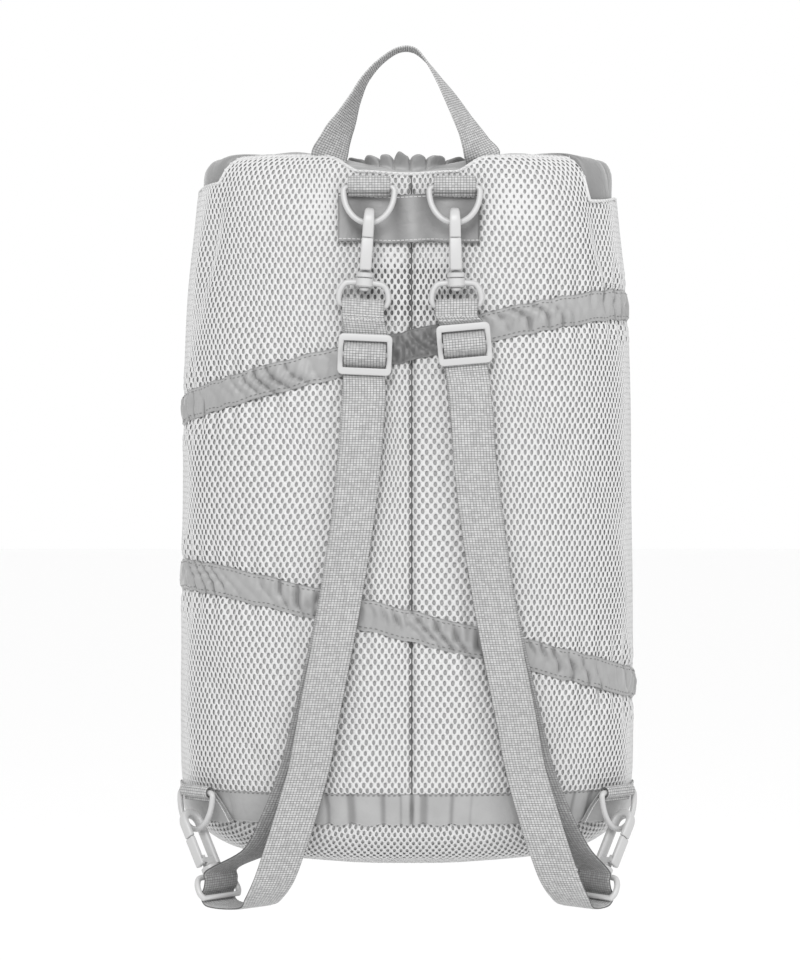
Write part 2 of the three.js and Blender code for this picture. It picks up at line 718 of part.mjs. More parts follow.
// Snap hook: the spine is on the +y side, the nose on the -y side, and the swivel stem with
// its head goes down through the bail's eye.
function hookBody() {
  const crownZ = HOOK.top - HOOK.crown / 2 - HOOK.reach;
  const path = [[HOOK.reach, COLLAR.high], [HOOK.reach, crownZ]];
  for (const k of range(CROWN_STOPS)) {
    const turn = ((k + 1) / (CROWN_STOPS + 1)) * Math.PI;
    path.push([HOOK.reach * Math.cos(turn), crownZ + HOOK.reach * Math.sin(turn)]);
  }
  path.push([-HOOK.reach, crownZ], [-HOOK.reach, HOOK.noseTip]);
  const rings = path.map((point, k) => {
    const before = path[Math.max(k - 1, 0)];
    const after = path[Math.min(k + 1, path.length - 1)];
    const run = new Vector3(0, after[0] - before[0], after[1] - before[1]).normalize();
    const side = new Vector3(0, run.z, -run.y);
    const level = smoothstep(Math.abs(run.y), 0, 1);
    const deep = lerp(HOOK.deep, HOOK.crown, level);
    return range(HOOK_SIDES).map((s) => {
      const turn = ((s + 0.5) / HOOK_SIDES) * 2 * Math.PI;
      return new Vector3((HOOK.wide / 2) * Math.cos(turn), point[0], point[1]).addScaledVector(
        side,
        (deep / 2) * Math.sin(turn),
      );
    });
  });
  const swivel = lathe(
    [
      [0, -STEM.drop - STEM.head],
      [STEM.headRadius, -STEM.drop - STEM.head],
      [STEM.headRadius, -STEM.drop],
      [STEM.radius, -STEM.drop],
      [STEM.radius, 0],
      [COLLAR.radius, 0],
      [COLLAR.radius, COLLAR.high - COLLAR.chamfer],
      [HOOK.wide / 2, COLLAR.high],
      [0, COLLAR.high],
    ],
    LATHE_SIDES,
  );
  const blockDeep = 2 * HOOK.reach + HOOK.deep;
  const block = box(HOOK.wide, blockDeep, 0, HOOK.foot, HOOK.block);
  const slotHigh = GATE_SLOT.low + HOOK.block;
  const slot = box(GATE.wide + 2 * GAP, GATE_SLOT.deep, -HOOK.reach, GATE_SLOT.low, slotHigh);
  const hole = crossPin(GATE.pin + GAP, 2 * HOOK.wide, -HOOK.reach, GATE.pivotZ);
  return cut(join(skin(rings), swivel, block), slot, hole);
}

// The gate closes the hook from its pin up to just under the nose.
function hookGate() {
  const half = GATE.thick / 2;
  const high = HOOK.noseTip - GAP - GATE.pivotZ;
  const shape = new THREE.Shape();
  shape.moveTo(half, high);
  shape.lineTo(-half, high);
  shape.lineTo(-half, GATE.neck);
  shape.absarc(0, 0, GATE.root, 0.9 * Math.PI, 2.1 * Math.PI, false);
  shape.lineTo(half, GATE.neck);
  const lever = new THREE.ExtrudeGeometry(shape, {
    depth: GATE.wide,
    bevelEnabled: false,
    curveSegments: 5,
  });
  lever.translate(0, 0, -GATE.wide / 2);
  lever.applyMatrix4(
    new THREE.Matrix4().makeBasis(
      new Vector3(0, 1, 0),
      new Vector3(0, 0, 1),
      new Vector3(1, 0, 0),
    ),
  );
  return join(lever, crossPin(GATE.pin, HOOK.wide - GAP, 0, 0));
}

// Bail: an eye round the hook's stem and a wire loop whose bar takes the strap.
function bail() {
  const right = BAIL_SIDE.map(({ x, z }) => [x, z]);
  const left = BAIL_SIDE.map(({ x, z }) => [-x, z]).reverse();
  const eye = lathe(
    [
      [0, BAIL.eyeLow],
      [COLLAR.radius, BAIL.eyeLow],
      [COLLAR.radius, BAIL.eyeHigh],
      [0, BAIL.eyeHigh],
    ],
    LATHE_SIDES,
  );
  const bore = lathe(
    [
      [0, BAIL.bar],
      [BAIL.bore, BAIL.bar],
      [BAIL.bore, COLLAR.high],
      [0, COLLAR.high],
    ],
    LATHE_SIDES,
  );
  return cut(join(wireLoop([...right, ...left]), eye), bore);
}

function roundedOutline(target, wide, tall, corner) {
  const [x, z] = [wide / 2 - corner, tall / 2 - corner];
  target.moveTo(x + corner, -z);
  target.absarc(x, z, corner, 0, 0.5 * Math.PI, false);
  target.absarc(-x, z, corner, 0.5 * Math.PI, Math.PI, false);
  target.absarc(-x, -z, corner, Math.PI, 1.5 * Math.PI, false);
  target.absarc(x, -z, corner, 1.5 * Math.PI, 2 * Math.PI, false);
  return target;
}

// Slider: a frame in the xz plane with a bar across its middle.
function slider() {
  const shape = roundedOutline(new THREE.Shape(), SLIDER.wide, SLIDER.tall, SLIDER.corner);
  const windowTall = SLIDER.tall / 2 - SLIDER.end - SLIDER.middle / 2;
  const windowZ = (SLIDER.middle + windowTall) / 2;
  for (const side of [-1, 1]) {
    const half = SLIDER.wide / 2 - SLIDER.side;
    const hole = new THREE.Path();
    hole.moveTo(-half, side * windowZ - windowTall / 2);
    hole.lineTo(half, side * windowZ - windowTall / 2);
    hole.lineTo(half, side * windowZ + windowTall / 2);
    hole.lineTo(-half, side * windowZ + windowTall / 2);
    shape.holes.push(hole);
  }
  const geometry = new THREE.ExtrudeGeometry(shape, {
    depth: SLIDER.thick,
    bevelEnabled: false,
    curveSegments: 3,
  });
  geometry.translate(0, 0, -SLIDER.thick / 2);
  geometry.rotateX(Math.PI / 2);
  return geometry;
}

// Ring, hook, gate and bail of one clip, in a group whose x axis is the ring's bar and whose
// -y axis points away from the sack.
function clip(name, side, settings) {
  const group = new THREE.Group();
  group.position.copy(settings.at);
  group.rotation.z = settings.yaw;
  group.add(piece(`${name}_ring_loop_${side}`, ringLoop(settings.loop), WEBBING_LOOK));

  const ring = piece(`${name}_dring_${side}`, dRing(), HARDWARE_LOOK);
  ring.rotation.x = -settings.lean;
  group.add(ring);

  const swing = new THREE.Group();
  swing.position.set(
    0,
    -RING_DROP * Math.sin(settings.lean),
    -RING_DROP * Math.cos(settings.lean),
  );
  swing.rotation.set(settings.out, settings.sway, 0);
  group.add(swing);

  const hook = new THREE.Group();
  hook.position.set(0, 0, settings.slack - HOOK_SEAT);
  swing.add(hook);
  hook.add(piece(`${name}_hook_${side}`, hookBody(), HARDWARE_LOOK));
  const gate = piece(`${name}_gate_${side}`, hookGate(), HARDWARE_LOOK);
  gate.position.set(0, -HOOK.reach, GATE.pivotZ);
  hook.add(gate);
  const loop = piece(`${name}_bail_${side}`, bail(), HARDWARE_LOOK);
  loop.rotation.z = settings.bailTurn;
  hook.add(loop);
  group.updateMatrixWorld(true);

  const bar = loop.localToWorld(new Vector3(0, 0, BAIL.bar));
  const barAcross = loop.localToWorld(new Vector3(1, 0, BAIL.bar)).sub(bar);
  const up = loop.localToWorld(new Vector3(0, 0, BAIL.bar + 1)).sub(bar);
  return { group, bar, barAcross, up };
}

function upperClip(sign, side) {
  const x = SEAM_X + sign * HOOK_SPREAD;
  const [tailZ, hookZ] = [UPPER_BAR_Z - UPPER_LOOP.tail, UPPER_BAR_Z - RING_DROP - HOOK_SEAT];
  const seat = strapBed(x, tailZ) - PATCH.gap - NYLON;
  const wall = offsetAt(x, (tailZ + hookZ) / 2, PATCH.gap + NYLON).y;
  const at = new Vector3(x, seat - LOOP_STANDOFF, UPPER_BAR_Z);
  const hookY = wall - HOOK.reach - HOOK.deep / 2 - UPPER_HOOK_CLEAR;
  const lean = Math.asin((at.y - hookY) / RING_DROP);
  const level = { loop: UPPER_LOOP, yaw: 0, out: 0, bailTurn: 0, slack: 0 };
  const sway = degToRad(UPPER_SWAY[side]);
  return clip("upper", side, { ...level, at, lean, sway });
}

function lowerClip(sign, side) {
  const { arc, t } = locate(sign * LOWER_RING.x, LOWER_RING.z);
  const out = surfaceNormal(bodyPoint, arc, t).setZ(0).normalize();
  const lift = HEM.crown + TAPE_GATHER + 3 * GAP + NYLON + LOOP_STANDOFF;
  const at = bodyPoint(arc, t).addScaledVector(out, lift);
  return clip("lower", side, {
    at,
    loop: LOWER_LOOP,
    yaw: Math.atan2(out.x, -out.y),
    lean: degToRad(LOWER_RING.lean),
    slack: LOWER_HOOK.slack,
    out: degToRad(LOWER_HOOK.out),
    sway: degToRad(sign * LOWER_HOOK.sway),
    bailTurn: degToRad(-sign * LOWER_HOOK.bailTurn),
  });
}

// Shoulder strap

// Foremost point of the tube under a strap's width.
function strapBed(x, z) {
  return Math.min(...[-0.5, 0, 0.5].map((f) => offsetAt(x + f * WEBBING_WIDE, z, 0).y));
}

function strap(sign, side, upper, lower) {
  const stops = [];
  const level = new Vector3(1, 0, 0);
  const add = (at, across) => stops.push({ at, across: across ?? level });
  const half = WEBBING_THICK / 2;
  const wrap = WIRE + 3 * GAP + half;
  const { x: sliderX, z: sliderZ, tilt } = SLIDERS[side];
  const sliderBed = strapBed(sliderX, sliderZ);
  const frame = SLIDER.thick / 2 + 2 * GAP + half;
  const behind = WEBBING_THICK + 2 * GAP;
  const sliderY = sliderBed - STRAP_LIFT.back - behind - frame;
  const dive = SLIDER.tall / 2 - SLIDER.end - 2 * GAP;
  const loop = Math.hypot(SLIDER.thick, SLIDER.middle) / 2 + 2 * GAP + half;
  const over = -loop - WEBBING_THICK - GAP;
  const slant = new Vector3(Math.cos(degToRad(tilt)), 0, Math.sin(degToRad(tilt)));
  const inSlider = (y, z) => {
    add(new Vector3(sliderX - slant.z * z, sliderY + y, sliderZ + slant.x * z), slant);
  };

  // The folded end round the upper bail, then down through the slider.
  const { bar, barAcross } = upper;
  const foldY = bar.y - wrap;
  const tailZ = sliderZ + SLIDER.tall / 2 + GAP;
  const tailY = Math.max(foldY, sliderY + frame) + behind;
  add(new Vector3((bar.x + sliderX) / 2, tailY, tailZ), slant);
  add(new Vector3(bar.x, foldY + behind + GAP, bar.z - FOLD_LENGTH), barAcross);
  for (const turn of QUARTERS) {
    const [c, s] = [Math.cos(turn * Math.PI), Math.sin(turn * Math.PI)];
    add(new Vector3(bar.x, bar.y + wrap * c, bar.z + wrap * s), barAcross);
  }
  add(new Vector3(bar.x, foldY - GAP, bar.z - FOLD_LENGTH), barAcross);
  inSlider(frame, SLIDER.tall / 2);
  inSlider(frame, dive);
  inSlider(over, SLIDER.middle);
  inSlider(over, -SLIDER.middle);
  inSlider(frame, -dive);
  inSlider(frame, -SLIDER.tall / 2);

  // Down the strap side, round the lower bail and up again behind.
  const spread = (row) => STRAP_X + sign * row.x;
  const onBody = (row, lift) => {
    const x = spread(row);
    const out = offsetAt(x, row.z, 1).sub(offsetAt(x, row.z, 0));
    const across = new Vector3(-out.y, out.x, 0).normalize();
    add(new Vector3(x, strapBed(x, row.z) - lift, row.z), across);
  };
  const free = (row) => {
    const across = level.clone().lerp(lower.barAcross, row.turn);
    add(new Vector3(spread(row), row.y, row.z), across);
  };
  STRAP_FRONT.forEach((row) => onBody(row, STRAP_LIFT.front));
  STRAP_FRONT_FREE.forEach(free);
  const forward = new Vector3().crossVectors(lower.up, lower.barAcross).negate();
  for (const { out, up } of STRAP_TURN) {
    const at = lower.bar.clone().addScaledVector(forward, out).addScaledVector(lower.up, up);
    add(at, lower.barAcross);
  }
  STRAP_BACK_FREE.forEach(free);
  STRAP_BACK.forEach((row) => onBody(row, STRAP_LIFT.back));
  inSlider(frame + behind + GAP, -SLIDER.tall / 2);
  inSlider(frame + behind, -dive);
  for (const turn of QUARTERS) {
    inSlider(loop * Math.cos(turn * Math.PI), loop * Math.sin(turn * Math.PI));
  }

  const adjuster = piece(`slider_${side}`, slider(), HARDWARE_LOOK);
  adjuster.position.set(sliderX, sliderY, sliderZ);
  adjuster.rotation.y = -degToRad(tilt);
  return [piece(`strap_${side}`, ribbon(stops, WEBBING_WIDE, 1), WEBBING_LOOK), adjuster];
}

const sack = new THREE.Group();
sack.add(piece("mesh_body", meshBody(), MESH_LOOK));
sack.add(piece("mesh_base", meshBase(), MESH_LOOK));
sack.add(piece("mouth_collar", mouthCollar(), NYLON_LOOK));
sack.add(piece("upper_band", tape(UPPER_TAPE), NYLON_LOOK));
sack.add(piece("lower_band", tape(LOWER_TAPE), NYLON_LOOK));
sack.add(piece("base_band", hem(), NYLON_LOOK));
sack.add(piece("top_patch", patch(), NYLON_LOOK));
sack.add(piece("haul_loop", haulLoop(), WEBBING_LOOK));
for (const [side, sign] of [["left", -1], ["right", 1]]) {
  const upper = upperClip(sign, side);
  const lower = lowerClip(sign, side);
  sack.add(piece(`corner_tab_${side}`, cornerTab(sign), NYLON_LOOK));
  sack.add(upper.group, lower.group, ...strap(sign, side, upper, lower));
}

// The hanging point is the underside of the haul loop's highest stretch.
const apex = HAUL_ROUTE[HAUL_APEX];
sack.position.set(-apex.x, -apex.y, -(apex.z - WEBBING_THICK / 2));

const root = new THREE.Group();
root.add(sack);

export default root;
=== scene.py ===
# %% [markdown]
# # A mesh gym sack, dressed in Blender
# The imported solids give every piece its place: a tube of knitted mesh that hangs by its haul
# loop, with straps that clip to wire rings. Here each solid gets the surface that the real
# piece has. The net is cut with thousands of holes, the nylon is gathered into folds, the
# webbing is woven and the hooks are rounded. Nothing moves away from its solid.

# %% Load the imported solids
import math

import bpy
import numpy as np
from mathutils import Matrix, Vector


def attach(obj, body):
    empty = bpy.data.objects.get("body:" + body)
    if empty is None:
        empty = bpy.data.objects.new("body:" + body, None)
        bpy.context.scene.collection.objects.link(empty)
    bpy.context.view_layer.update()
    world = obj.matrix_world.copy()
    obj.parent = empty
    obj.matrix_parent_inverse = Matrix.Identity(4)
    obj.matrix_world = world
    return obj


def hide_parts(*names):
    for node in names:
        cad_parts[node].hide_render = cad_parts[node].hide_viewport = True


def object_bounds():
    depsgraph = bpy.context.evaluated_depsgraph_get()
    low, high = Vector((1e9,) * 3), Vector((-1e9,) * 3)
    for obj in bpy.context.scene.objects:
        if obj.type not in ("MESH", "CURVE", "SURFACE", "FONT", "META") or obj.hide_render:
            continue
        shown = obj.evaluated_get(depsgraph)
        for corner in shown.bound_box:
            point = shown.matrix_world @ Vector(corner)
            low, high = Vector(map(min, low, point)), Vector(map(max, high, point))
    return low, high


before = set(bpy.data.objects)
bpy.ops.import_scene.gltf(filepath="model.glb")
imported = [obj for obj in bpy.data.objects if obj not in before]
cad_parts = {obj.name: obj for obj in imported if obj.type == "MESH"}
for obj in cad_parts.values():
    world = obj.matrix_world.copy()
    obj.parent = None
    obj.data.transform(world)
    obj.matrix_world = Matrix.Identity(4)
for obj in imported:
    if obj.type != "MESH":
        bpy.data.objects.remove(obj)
cad_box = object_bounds()

# %% [markdown]
# ## Millimetres and the hanging point
# A bag maker measures in millimetres from the bottom of the sack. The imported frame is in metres
# and starts at the hanging point, under the top of the haul loop. One function turns the first
# into the second, so that every size below can be read as on a cutting sheet.

# %% From the sack's own millimetres to the frame's metres
MM = 0.001
HANGING_POINT = np.array([-4.5, -76.0, 551.7])
SACK_TO_FRAME = Matrix.Scale(MM, 4) @ Matrix.Translation(Vector(-HANGING_POINT))


def to_frame(points):
    return (np.asarray(points, float) - HANGING_POINT) * MM


def new_object(name, data):
    made = bpy.data.objects.new(name, data)
    bpy.context.collection.objects.link(made)
    return made


# %% [markdown]
# ## Camera and light
# The photograph looks level and straight on at the strap side from about two metres, with a
# long lens. The light is that of a white studio: it comes from everywhere, a little more from
# above in front. A white world gives the even part, and two large area lamps give the rest.

# %% Camera
CAMERA_PLACE, LENS, SENSOR = (-4.9, -2100.0, 262.0), 112.5, 36.0
camera = new_object("camera", bpy.data.cameras.new("camera"))
camera.data.sensor_width, camera.data.lens = SENSOR, LENS
camera.location = to_frame(CAMERA_PLACE)
camera.rotation_euler = (math.radians(90), 0, 0)
bpy.context.scene.camera = camera
print("camera:", [round(v, 2) for v in camera.location], "m")

# %% Studio light
LAMP_AIM = Vector((0, 0.07, -0.29))
LAMPS = {
    "front_lamp": {"place": (-0.3, -2.2, 1.2), "watts": 42, "size": 1.2},
    "side_lamp": {"place": (1.6, -1.4, 0.6), "watts": 8, "size": 1.0},
}
world = bpy.data.worlds.new("white_studio")
world.use_nodes = True
world.node_tree.nodes["Background"].inputs["Color"].default_value = (1, 1, 1, 1)
world.node_tree.nodes["Background"].inputs["Strength"].default_value = 1.0
bpy.context.scene.world = world
bpy.context.scene.view_settings.view_transform = "Standard"
for name, lamp in LAMPS.items():
    light = bpy.data.lights.new(name, "AREA")
    light.energy, light.size = lamp["watts"], lamp["size"]
    holder = new_object(name, light)
    holder.location = lamp["place"]
    holder.rotation_euler = (LAMP_AIM - holder.location).to_track_quat("-Z", "Y").to_euler()
print("lamps:", ", ".join(LAMPS))

# %% [markdown]
# ## Materials
# A finish starts from the real stuff. Colours are written as on screen, in hex, and one
# function makes them linear. One function adds a node with its settings and links, and the
# others name the few kinds of node that are used. Patterns are given in millimetres.


# %% Helpers for materials
def linear(hex_colour):
    channels = [int(hex_colour[k : k + 2], 16) / 255 for k in (1, 3, 5)]
    curve = [c / 12.92 if c <= 0.04045 else ((c + 0.055) / 1.055) ** 2.4 for c in channels]
    return (*curve, 1.0)


def add_node(material, kind, props=None, values=None, links=None):
    made = material.node_tree.nodes.new(kind)
    for name, value in (props or {}).items():
        setattr(made, name, value)
    for name, value in (values or {}).items():
        made.inputs[name].default_value = value
    for name, socket in (links or {}).items():
        material.node_tree.links.new(socket, made.inputs[name])
    return made


def new_material(name, **shader_values):
    material = bpy.data.materials.new(name)
    material.use_nodes = True
    shader = material.node_tree.nodes["Principled BSDF"]
    for socket, value in shader_values.items():
        shader.inputs[socket.replace("_", " ")].default_value = value
    return material


def connect(material, **sockets):
    shader = material.node_tree.nodes["Principled BSDF"]
    for name, socket in sockets.items():
        material.node_tree.links.new(socket, shader.inputs[name.replace("_", " ")])


def add_noise(material, grain, **values):
    """A noise fixed to the piece, with grains of a size in mm."""
    links = {"Vector": add_node(material, "ShaderNodeTexCoord").outputs["Object"]}
    values = {"Scale": 1 / (grain * MM), **values}
    return add_node(material, "ShaderNodeTexNoise", values=values, links=links).outputs["Fac"]


def add_mix(material, factor, a, b):
    """Two shades in hex, mixed by a pattern."""
    props, values = {"data_type": "RGBA"}, {"A": linear(a), "B": linear(b)}
    return add_node(material, "ShaderNodeMix", props, values, {"Factor": factor}).outputs["Result"]


def add_bump(material, height, strength, deep, invert=False, over=None):
    """Bumps from a pattern, with their depth in mm, on the surface or over other bumps."""
    links = {"Height": height, "Normal": over} if over else {"Height": height}
    values = {"Strength": strength, "Distance": deep * MM}
    bump = add_node(material, "ShaderNodeBump", {"invert": invert}, values, links)
    return bump.outputs["Normal"]


# %% [markdown]
# ### Painted shade
# Some shade is painted into the cloth's colour: in the valleys of folds, pleats and ruffle, in
# the hem's slit and the seam, in the yoke between the hooks, on the tape between the straps, over
# the ring patch, on the collar's upturned corners and on the straps' hanging back layers. A mesh
# can carry a number for this at every point, and the materials multiply their colour by a darker
# one as far as it says.

# %% Painted shade, darker as far as the mesh says
CLOTH_PAINTED_SHADE, WEBBING_PAINTED_SHADE = 0.42, 0.45


def darken_by_painted_shade(material, colour, share):
    painted_shade = add_node(material, "ShaderNodeAttribute", {"attribute_name": "painted_shade"})
    darker = add_node(
        material,
        "ShaderNodeMix",
        props={"data_type": "RGBA", "blend_type": "MULTIPLY"},
        values={"B": (share, share, share, 1.0)},
        links={"Factor": painted_shade.outputs["Fac"], "A": colour},
    )
    return darker.outputs["Result"]


# %% [markdown]
# ### Knitted mesh
# The cloth is a sandwich mesh: an open face of soft off-white polyester yarn over a closed,
# darker back. Yarn is dull, with a little fuzz that catches light at a low angle, so the face
# is rough, has some sheen, and a fine noise breaks up its colour and its bumps.


# %% Polyester yarn of the net, and the back that shows through its holes
def knitted_polyester(name, shade_from, shade_to, yarn):
    material = new_material(name, Roughness=0.8, Sheen_Weight=0.2, Sheen_Roughness=0.5)
    fuzz = add_noise(material, yarn, Detail=3.0)
    shade = add_mix(material, fuzz, shade_from, shade_to)
    # Painted shade darkens the yarn's colour where the mesh carries it.
    colour = darken_by_painted_shade(material, shade, CLOTH_PAINTED_SHADE)
    connect(material, Base_Color=colour, Normal=add_bump(material, fuzz, 0.25, 0.3))
    return material


NET = knitted_polyester("polyester_net", "#b6b6b6", "#cecece", yarn=0.9)
NET_BACK = knitted_polyester("polyester_net_back", "#8e8e8e", "#a0a0a0", yarn=1.6)

# %% [markdown]
# ### Nylon taffeta
# The mouth, the tapes and the hem are thin plain-woven nylon. Its filaments lie flat, so it
# shines softly along folds. It is never quite smooth: small crinkles a few millimetres wide
# run over it. The weave itself is about 0.3 mm, too fine to show, so it is drawn at 0.8 mm.

# %% Woven nylon
CLOUD, CRINKLE, WEAVE = 18, 7, 0.8
NYLON = new_material("nylon_taffeta", Roughness=0.46, Sheen_Weight=0.3, Sheen_Roughness=0.35)
clouds = add_mix(NYLON, add_noise(NYLON, CLOUD, Detail=2.0), "#888888", "#9e9e9e")
crinkles = add_noise(NYLON, CRINKLE, Detail=3.0, Distortion=0.8)
crinkle_bump = add_bump(NYLON, crinkles, 0.5, 1.0)
weave_bump = add_bump(NYLON, add_noise(NYLON, WEAVE, Detail=1.0), 0.2, 0.15, over=crinkle_bump)
# Painted shade darkens the nylon's colour where the mesh carries it.
connect(NYLON, Base_Color=darken_by_painted_shade(NYLON, clouds, CLOTH_PAINTED_SHADE), Normal=weave_bump)

# %% [markdown]
# ### Webbing
# Straps are flat-woven polyester webbing. Thick weft yarns make rows across the strap, and the
# warp yarns cover them in short nubs, in upright files. The UV map of a strap runs in metres,
# across and along, so a brick pattern draws the nubs at their real size. Its dark mortar is
# painted shade in the grooves between the nubs.

# %% Woven polyester webbing
NUB_WIDE, NUB_TALL, NUB_GAP = 2.0, 1.6, 0.34
WEBBING = new_material("polyester_webbing", Roughness=0.78, Sheen_Weight=0.15, Sheen_Roughness=0.5)
nubs = add_node(
    WEBBING,
    "ShaderNodeTexBrick",
    props={"offset": 0.0},
    values={
        "Color1": linear("#b2b2b2"),
        "Color2": linear("#9c9c9c"),
        # Painted shade in the grooves between the nubs.
        "Mortar": linear("#525252"),
        "Scale": 1.0,
        "Mortar Size": NUB_GAP / 2 * MM,
        "Mortar Smooth": 0.6,
        "Brick Width": NUB_WIDE * MM,
        "Row Height": NUB_TALL * MM,
    },
    links={"Vector": add_node(WEBBING, "ShaderNodeUVMap", {"uv_map": "weave"}).outputs["UV"]},
)
# Painted shade darkens the webbing where its mesh carries it.
webbing_colour = darken_by_painted_shade(WEBBING, nubs.outputs["Color"], WEBBING_PAINTED_SHADE)
nub_bump = add_bump(WEBBING, nubs.outputs["Fac"], 0.7, 0.35, invert=True)
connect(WEBBING, Base_Color=webbing_colour, Normal=nub_bump)

# %% [markdown]
# ### Coated metal and sewing thread
# The rings, hooks and sliders are zinc castings and steel wire under an off-white powder coat.
# It hides the metal, so it is shaded as a smooth, half-matt paint with the faint orange peel
# that baking leaves. Thread is bright twisted polyester. The dark grey thread of the tapes and
# the hem paints the shade of their stitch holes.

# %% Powder coat, thread and floor
PEEL, TWIST = 1.1, 0.4
COAT_COLOUR = linear("#aeaeae")
POWDER_COAT = new_material("powder_coated_metal", Base_Color=COAT_COLOUR, Roughness=0.36, IOR=1.5)
peel = add_noise(POWDER_COAT, PEEL, Detail=2.0)
connect(POWDER_COAT, Normal=add_bump(POWDER_COAT, peel, 0.12, 0.2))


def sewing_thread(name, colour):
    thread = new_material(name, Base_Color=linear(colour), Roughness=0.6, Sheen_Weight=0.3)
    connect(thread, Normal=add_bump(thread, add_noise(thread, TWIST), 0.3, 0.1))
    return thread


THREAD = sewing_thread("polyester_thread", "#c4c4c4")
# Dark grey thread that paints the shade of the stitch holes.
SHADE_PAINTED_THREAD = sewing_thread("polyester_thread_painted_shade", "#5c5c5c")
FLOOR = new_material("studio_floor", Base_Color=linear("#fcfcfc"), Roughness=0.9)
print("materials:", ", ".join(m.name for m in bpy.data.materials))

# %% [markdown]
# ## Floor
# The sack hangs well clear of the ground, so a big pale plane lies some way under it, and its
# shadow there is too soft and far to see.

# %% Studio floor
FLOOR_BELOW, FLOOR_SIZE = 450, 60
bpy.ops.object.select_all(action="DESELECT")
floor_place = (0, 0, cad_box[0].z - FLOOR_BELOW * MM)
bpy.ops.mesh.primitive_plane_add(size=FLOOR_SIZE, location=floor_place)
floor = bpy.context.object
floor.name = "studio_floor"
floor.data.materials.append(FLOOR)

# %% [markdown]
# ## The shape of the sack
# The solids were lofted from a short table of rows, each an oval with its own width and depth.
# The cloth here is laid over the same ovals, so the same tables and the same few functions are
# repeated. A place on the tube is named by its arc, in mm round the tube from the middle of the
# strap side, and its row, counted up the table.

# %% Rows of the tube and the base: height, half width, depth to the front and to the back
MESH_WALL, GAP = 2.2, 0.3
BODY_ROWS = np.array(
    [
        (42, 153, 92, 90), (66, 157.5, 96, 94), (180, 157.5, 98, 96), (250, 156.5, 98, 96),
        (320, 156, 97, 95), (385, 153.5, 95, 92), (435, 148.5, 91, 87), (465, 145, 87, 81),
        (479, 139, 81, 73), (484, 127, 72, 64), (483, 98, 66, 55), (479, 64, 62, 40),
        (475.5, 41, 58, 24),
    ]
)  # fmt: skip
BASE_ROWS = np.array(
    [
        (42 - GAP, 153, 92, 90), (32, 151.5, 91, 89), (18.5, 140, 85, 83), (6, 114, 69, 67),
        (-2, 56, 33, 32),
    ]
)  # fmt: skip
MIDDLE_ROW, NECK = 3, len(BODY_ROWS) - 1
ROUNDNESS = 2.4

# %% Hollows and swells, the top edge with its dip, and the tapes
SEAM_X = 3.0
# What it is, x and z of its middle, reach sideways and up, and how deep.
HOLLOWS = [
    ("seam above", SEAM_X, 320, 20, 100, 6),
    ("seam below", SEAM_X, 110, 18, 80, 3.5),
    ("behind the hooks", SEAM_X, 428, 52, 46, 9),
    ("left shoulder", -96, 440, 36, 42, -4),
    ("right shoulder", 100, 440, 36, 42, -4),
    ("left cheek", -88, 255, 48, 60, -3),
    ("right cheek", 88, 245, 48, 70, -3),
]
FRONT_FADE, BASE_FADE, HEM_HIGH = (8, 55), 30, 52
RIM_ARCS = np.array([-420, -205, -150, -139, -64, -36, 0, 36, 64, 135, 139, 205, 420])
RIM_ROWS = np.array([6.9, 6.85, 7.0, 8.6, 8.5, 7.25, 7.15, 7.25, 8.5, 8.6, 6.5, 6.7, 6.9])
DIP_DEPTH, DIP_ARC, DIP_ROWS = 7, 44, (7.3, 8.6)
# Height at the middle, slope, and how far the front rises over the sides.
UPPER_TAPE, LOWER_TAPE = (346, 0.236, 6), (158, -0.243, 7)
TAPES = (UPPER_TAPE, LOWER_TAPE)
TAPE_WIDE, TAPE_CINCH, TAPE_CINCH_TALL = 21, 2, 15


# %% Small functions on numbers
def smoothstep(x, low, high):
    f = np.clip((x - low) / (high - low), 0, 1)
    return f * f * (3 - 2 * f)


def within(x, low, high, fade):
    return smoothstep(x, low - fade, low) * (1 - smoothstep(x, high, high + fade))


def bell(x):
    return np.exp(-x * x)


def signed_power(base, power):
    return np.sign(base) * np.abs(base) ** power


def unit(vectors):
    return vectors / np.linalg.norm(vectors, axis=-1, keepdims=True)


def run_lengths(points):
    """Lengths from the first point on, along the first axis."""
    steps = np.linalg.norm(np.diff(points, axis=0), axis=-1)
    return np.concatenate([np.zeros_like(steps[:1]), np.cumsum(steps, 0)])


# %% A place on the tube
def row_at(rows, t):
    last = len(rows) - 1
    low = np.clip(np.floor(t).astype(int), 0, last - 1)
    f = (t - low)[..., None]
    a, b, c, d = (rows[np.clip(low + step, 0, last)] for step in (-1, 0, 1, 2))
    slope_b, slope_c = (c - a) / 2, (d - b) / 2
    bend = 2 * b - 2 * c + slope_b + slope_c
    return ((bend * f - 3 * b + 3 * c - 2 * slope_b - slope_c) * f + slope_b) * f + b


def ring_depth(row, angle):
    return np.where(np.cos(angle) > 0, row[..., 2], row[..., 3])


def ring_point(row, angle):
    x = row[..., 1] * signed_power(np.sin(angle), 2 / ROUNDNESS)
    y = -ring_depth(row, angle) * signed_power(np.cos(angle), 2 / ROUNDNESS)
    return np.stack([x, y, row[..., 0]], -1)


RING_ANGLES = np.linspace(0, 2 * np.pi, 1441)
middle_row = np.broadcast_to(BODY_ROWS[MIDDLE_ROW], (len(RING_ANGLES), 4))
RING_ARCS = run_lengths(ring_point(middle_row, RING_ANGLES))
ROUND = RING_ARCS[-1]


def ring_angle(arc):
    return np.interp(np.mod(arc, ROUND), RING_ARCS, RING_ANGLES)


def signed_arc(arc):
    return np.mod(arc + ROUND / 2, ROUND) - ROUND / 2


def arcs_round(steps):
    return np.linspace(0, ROUND, steps + 1)[:-1]


print("round the tube:", round(ROUND, 1), "mm")


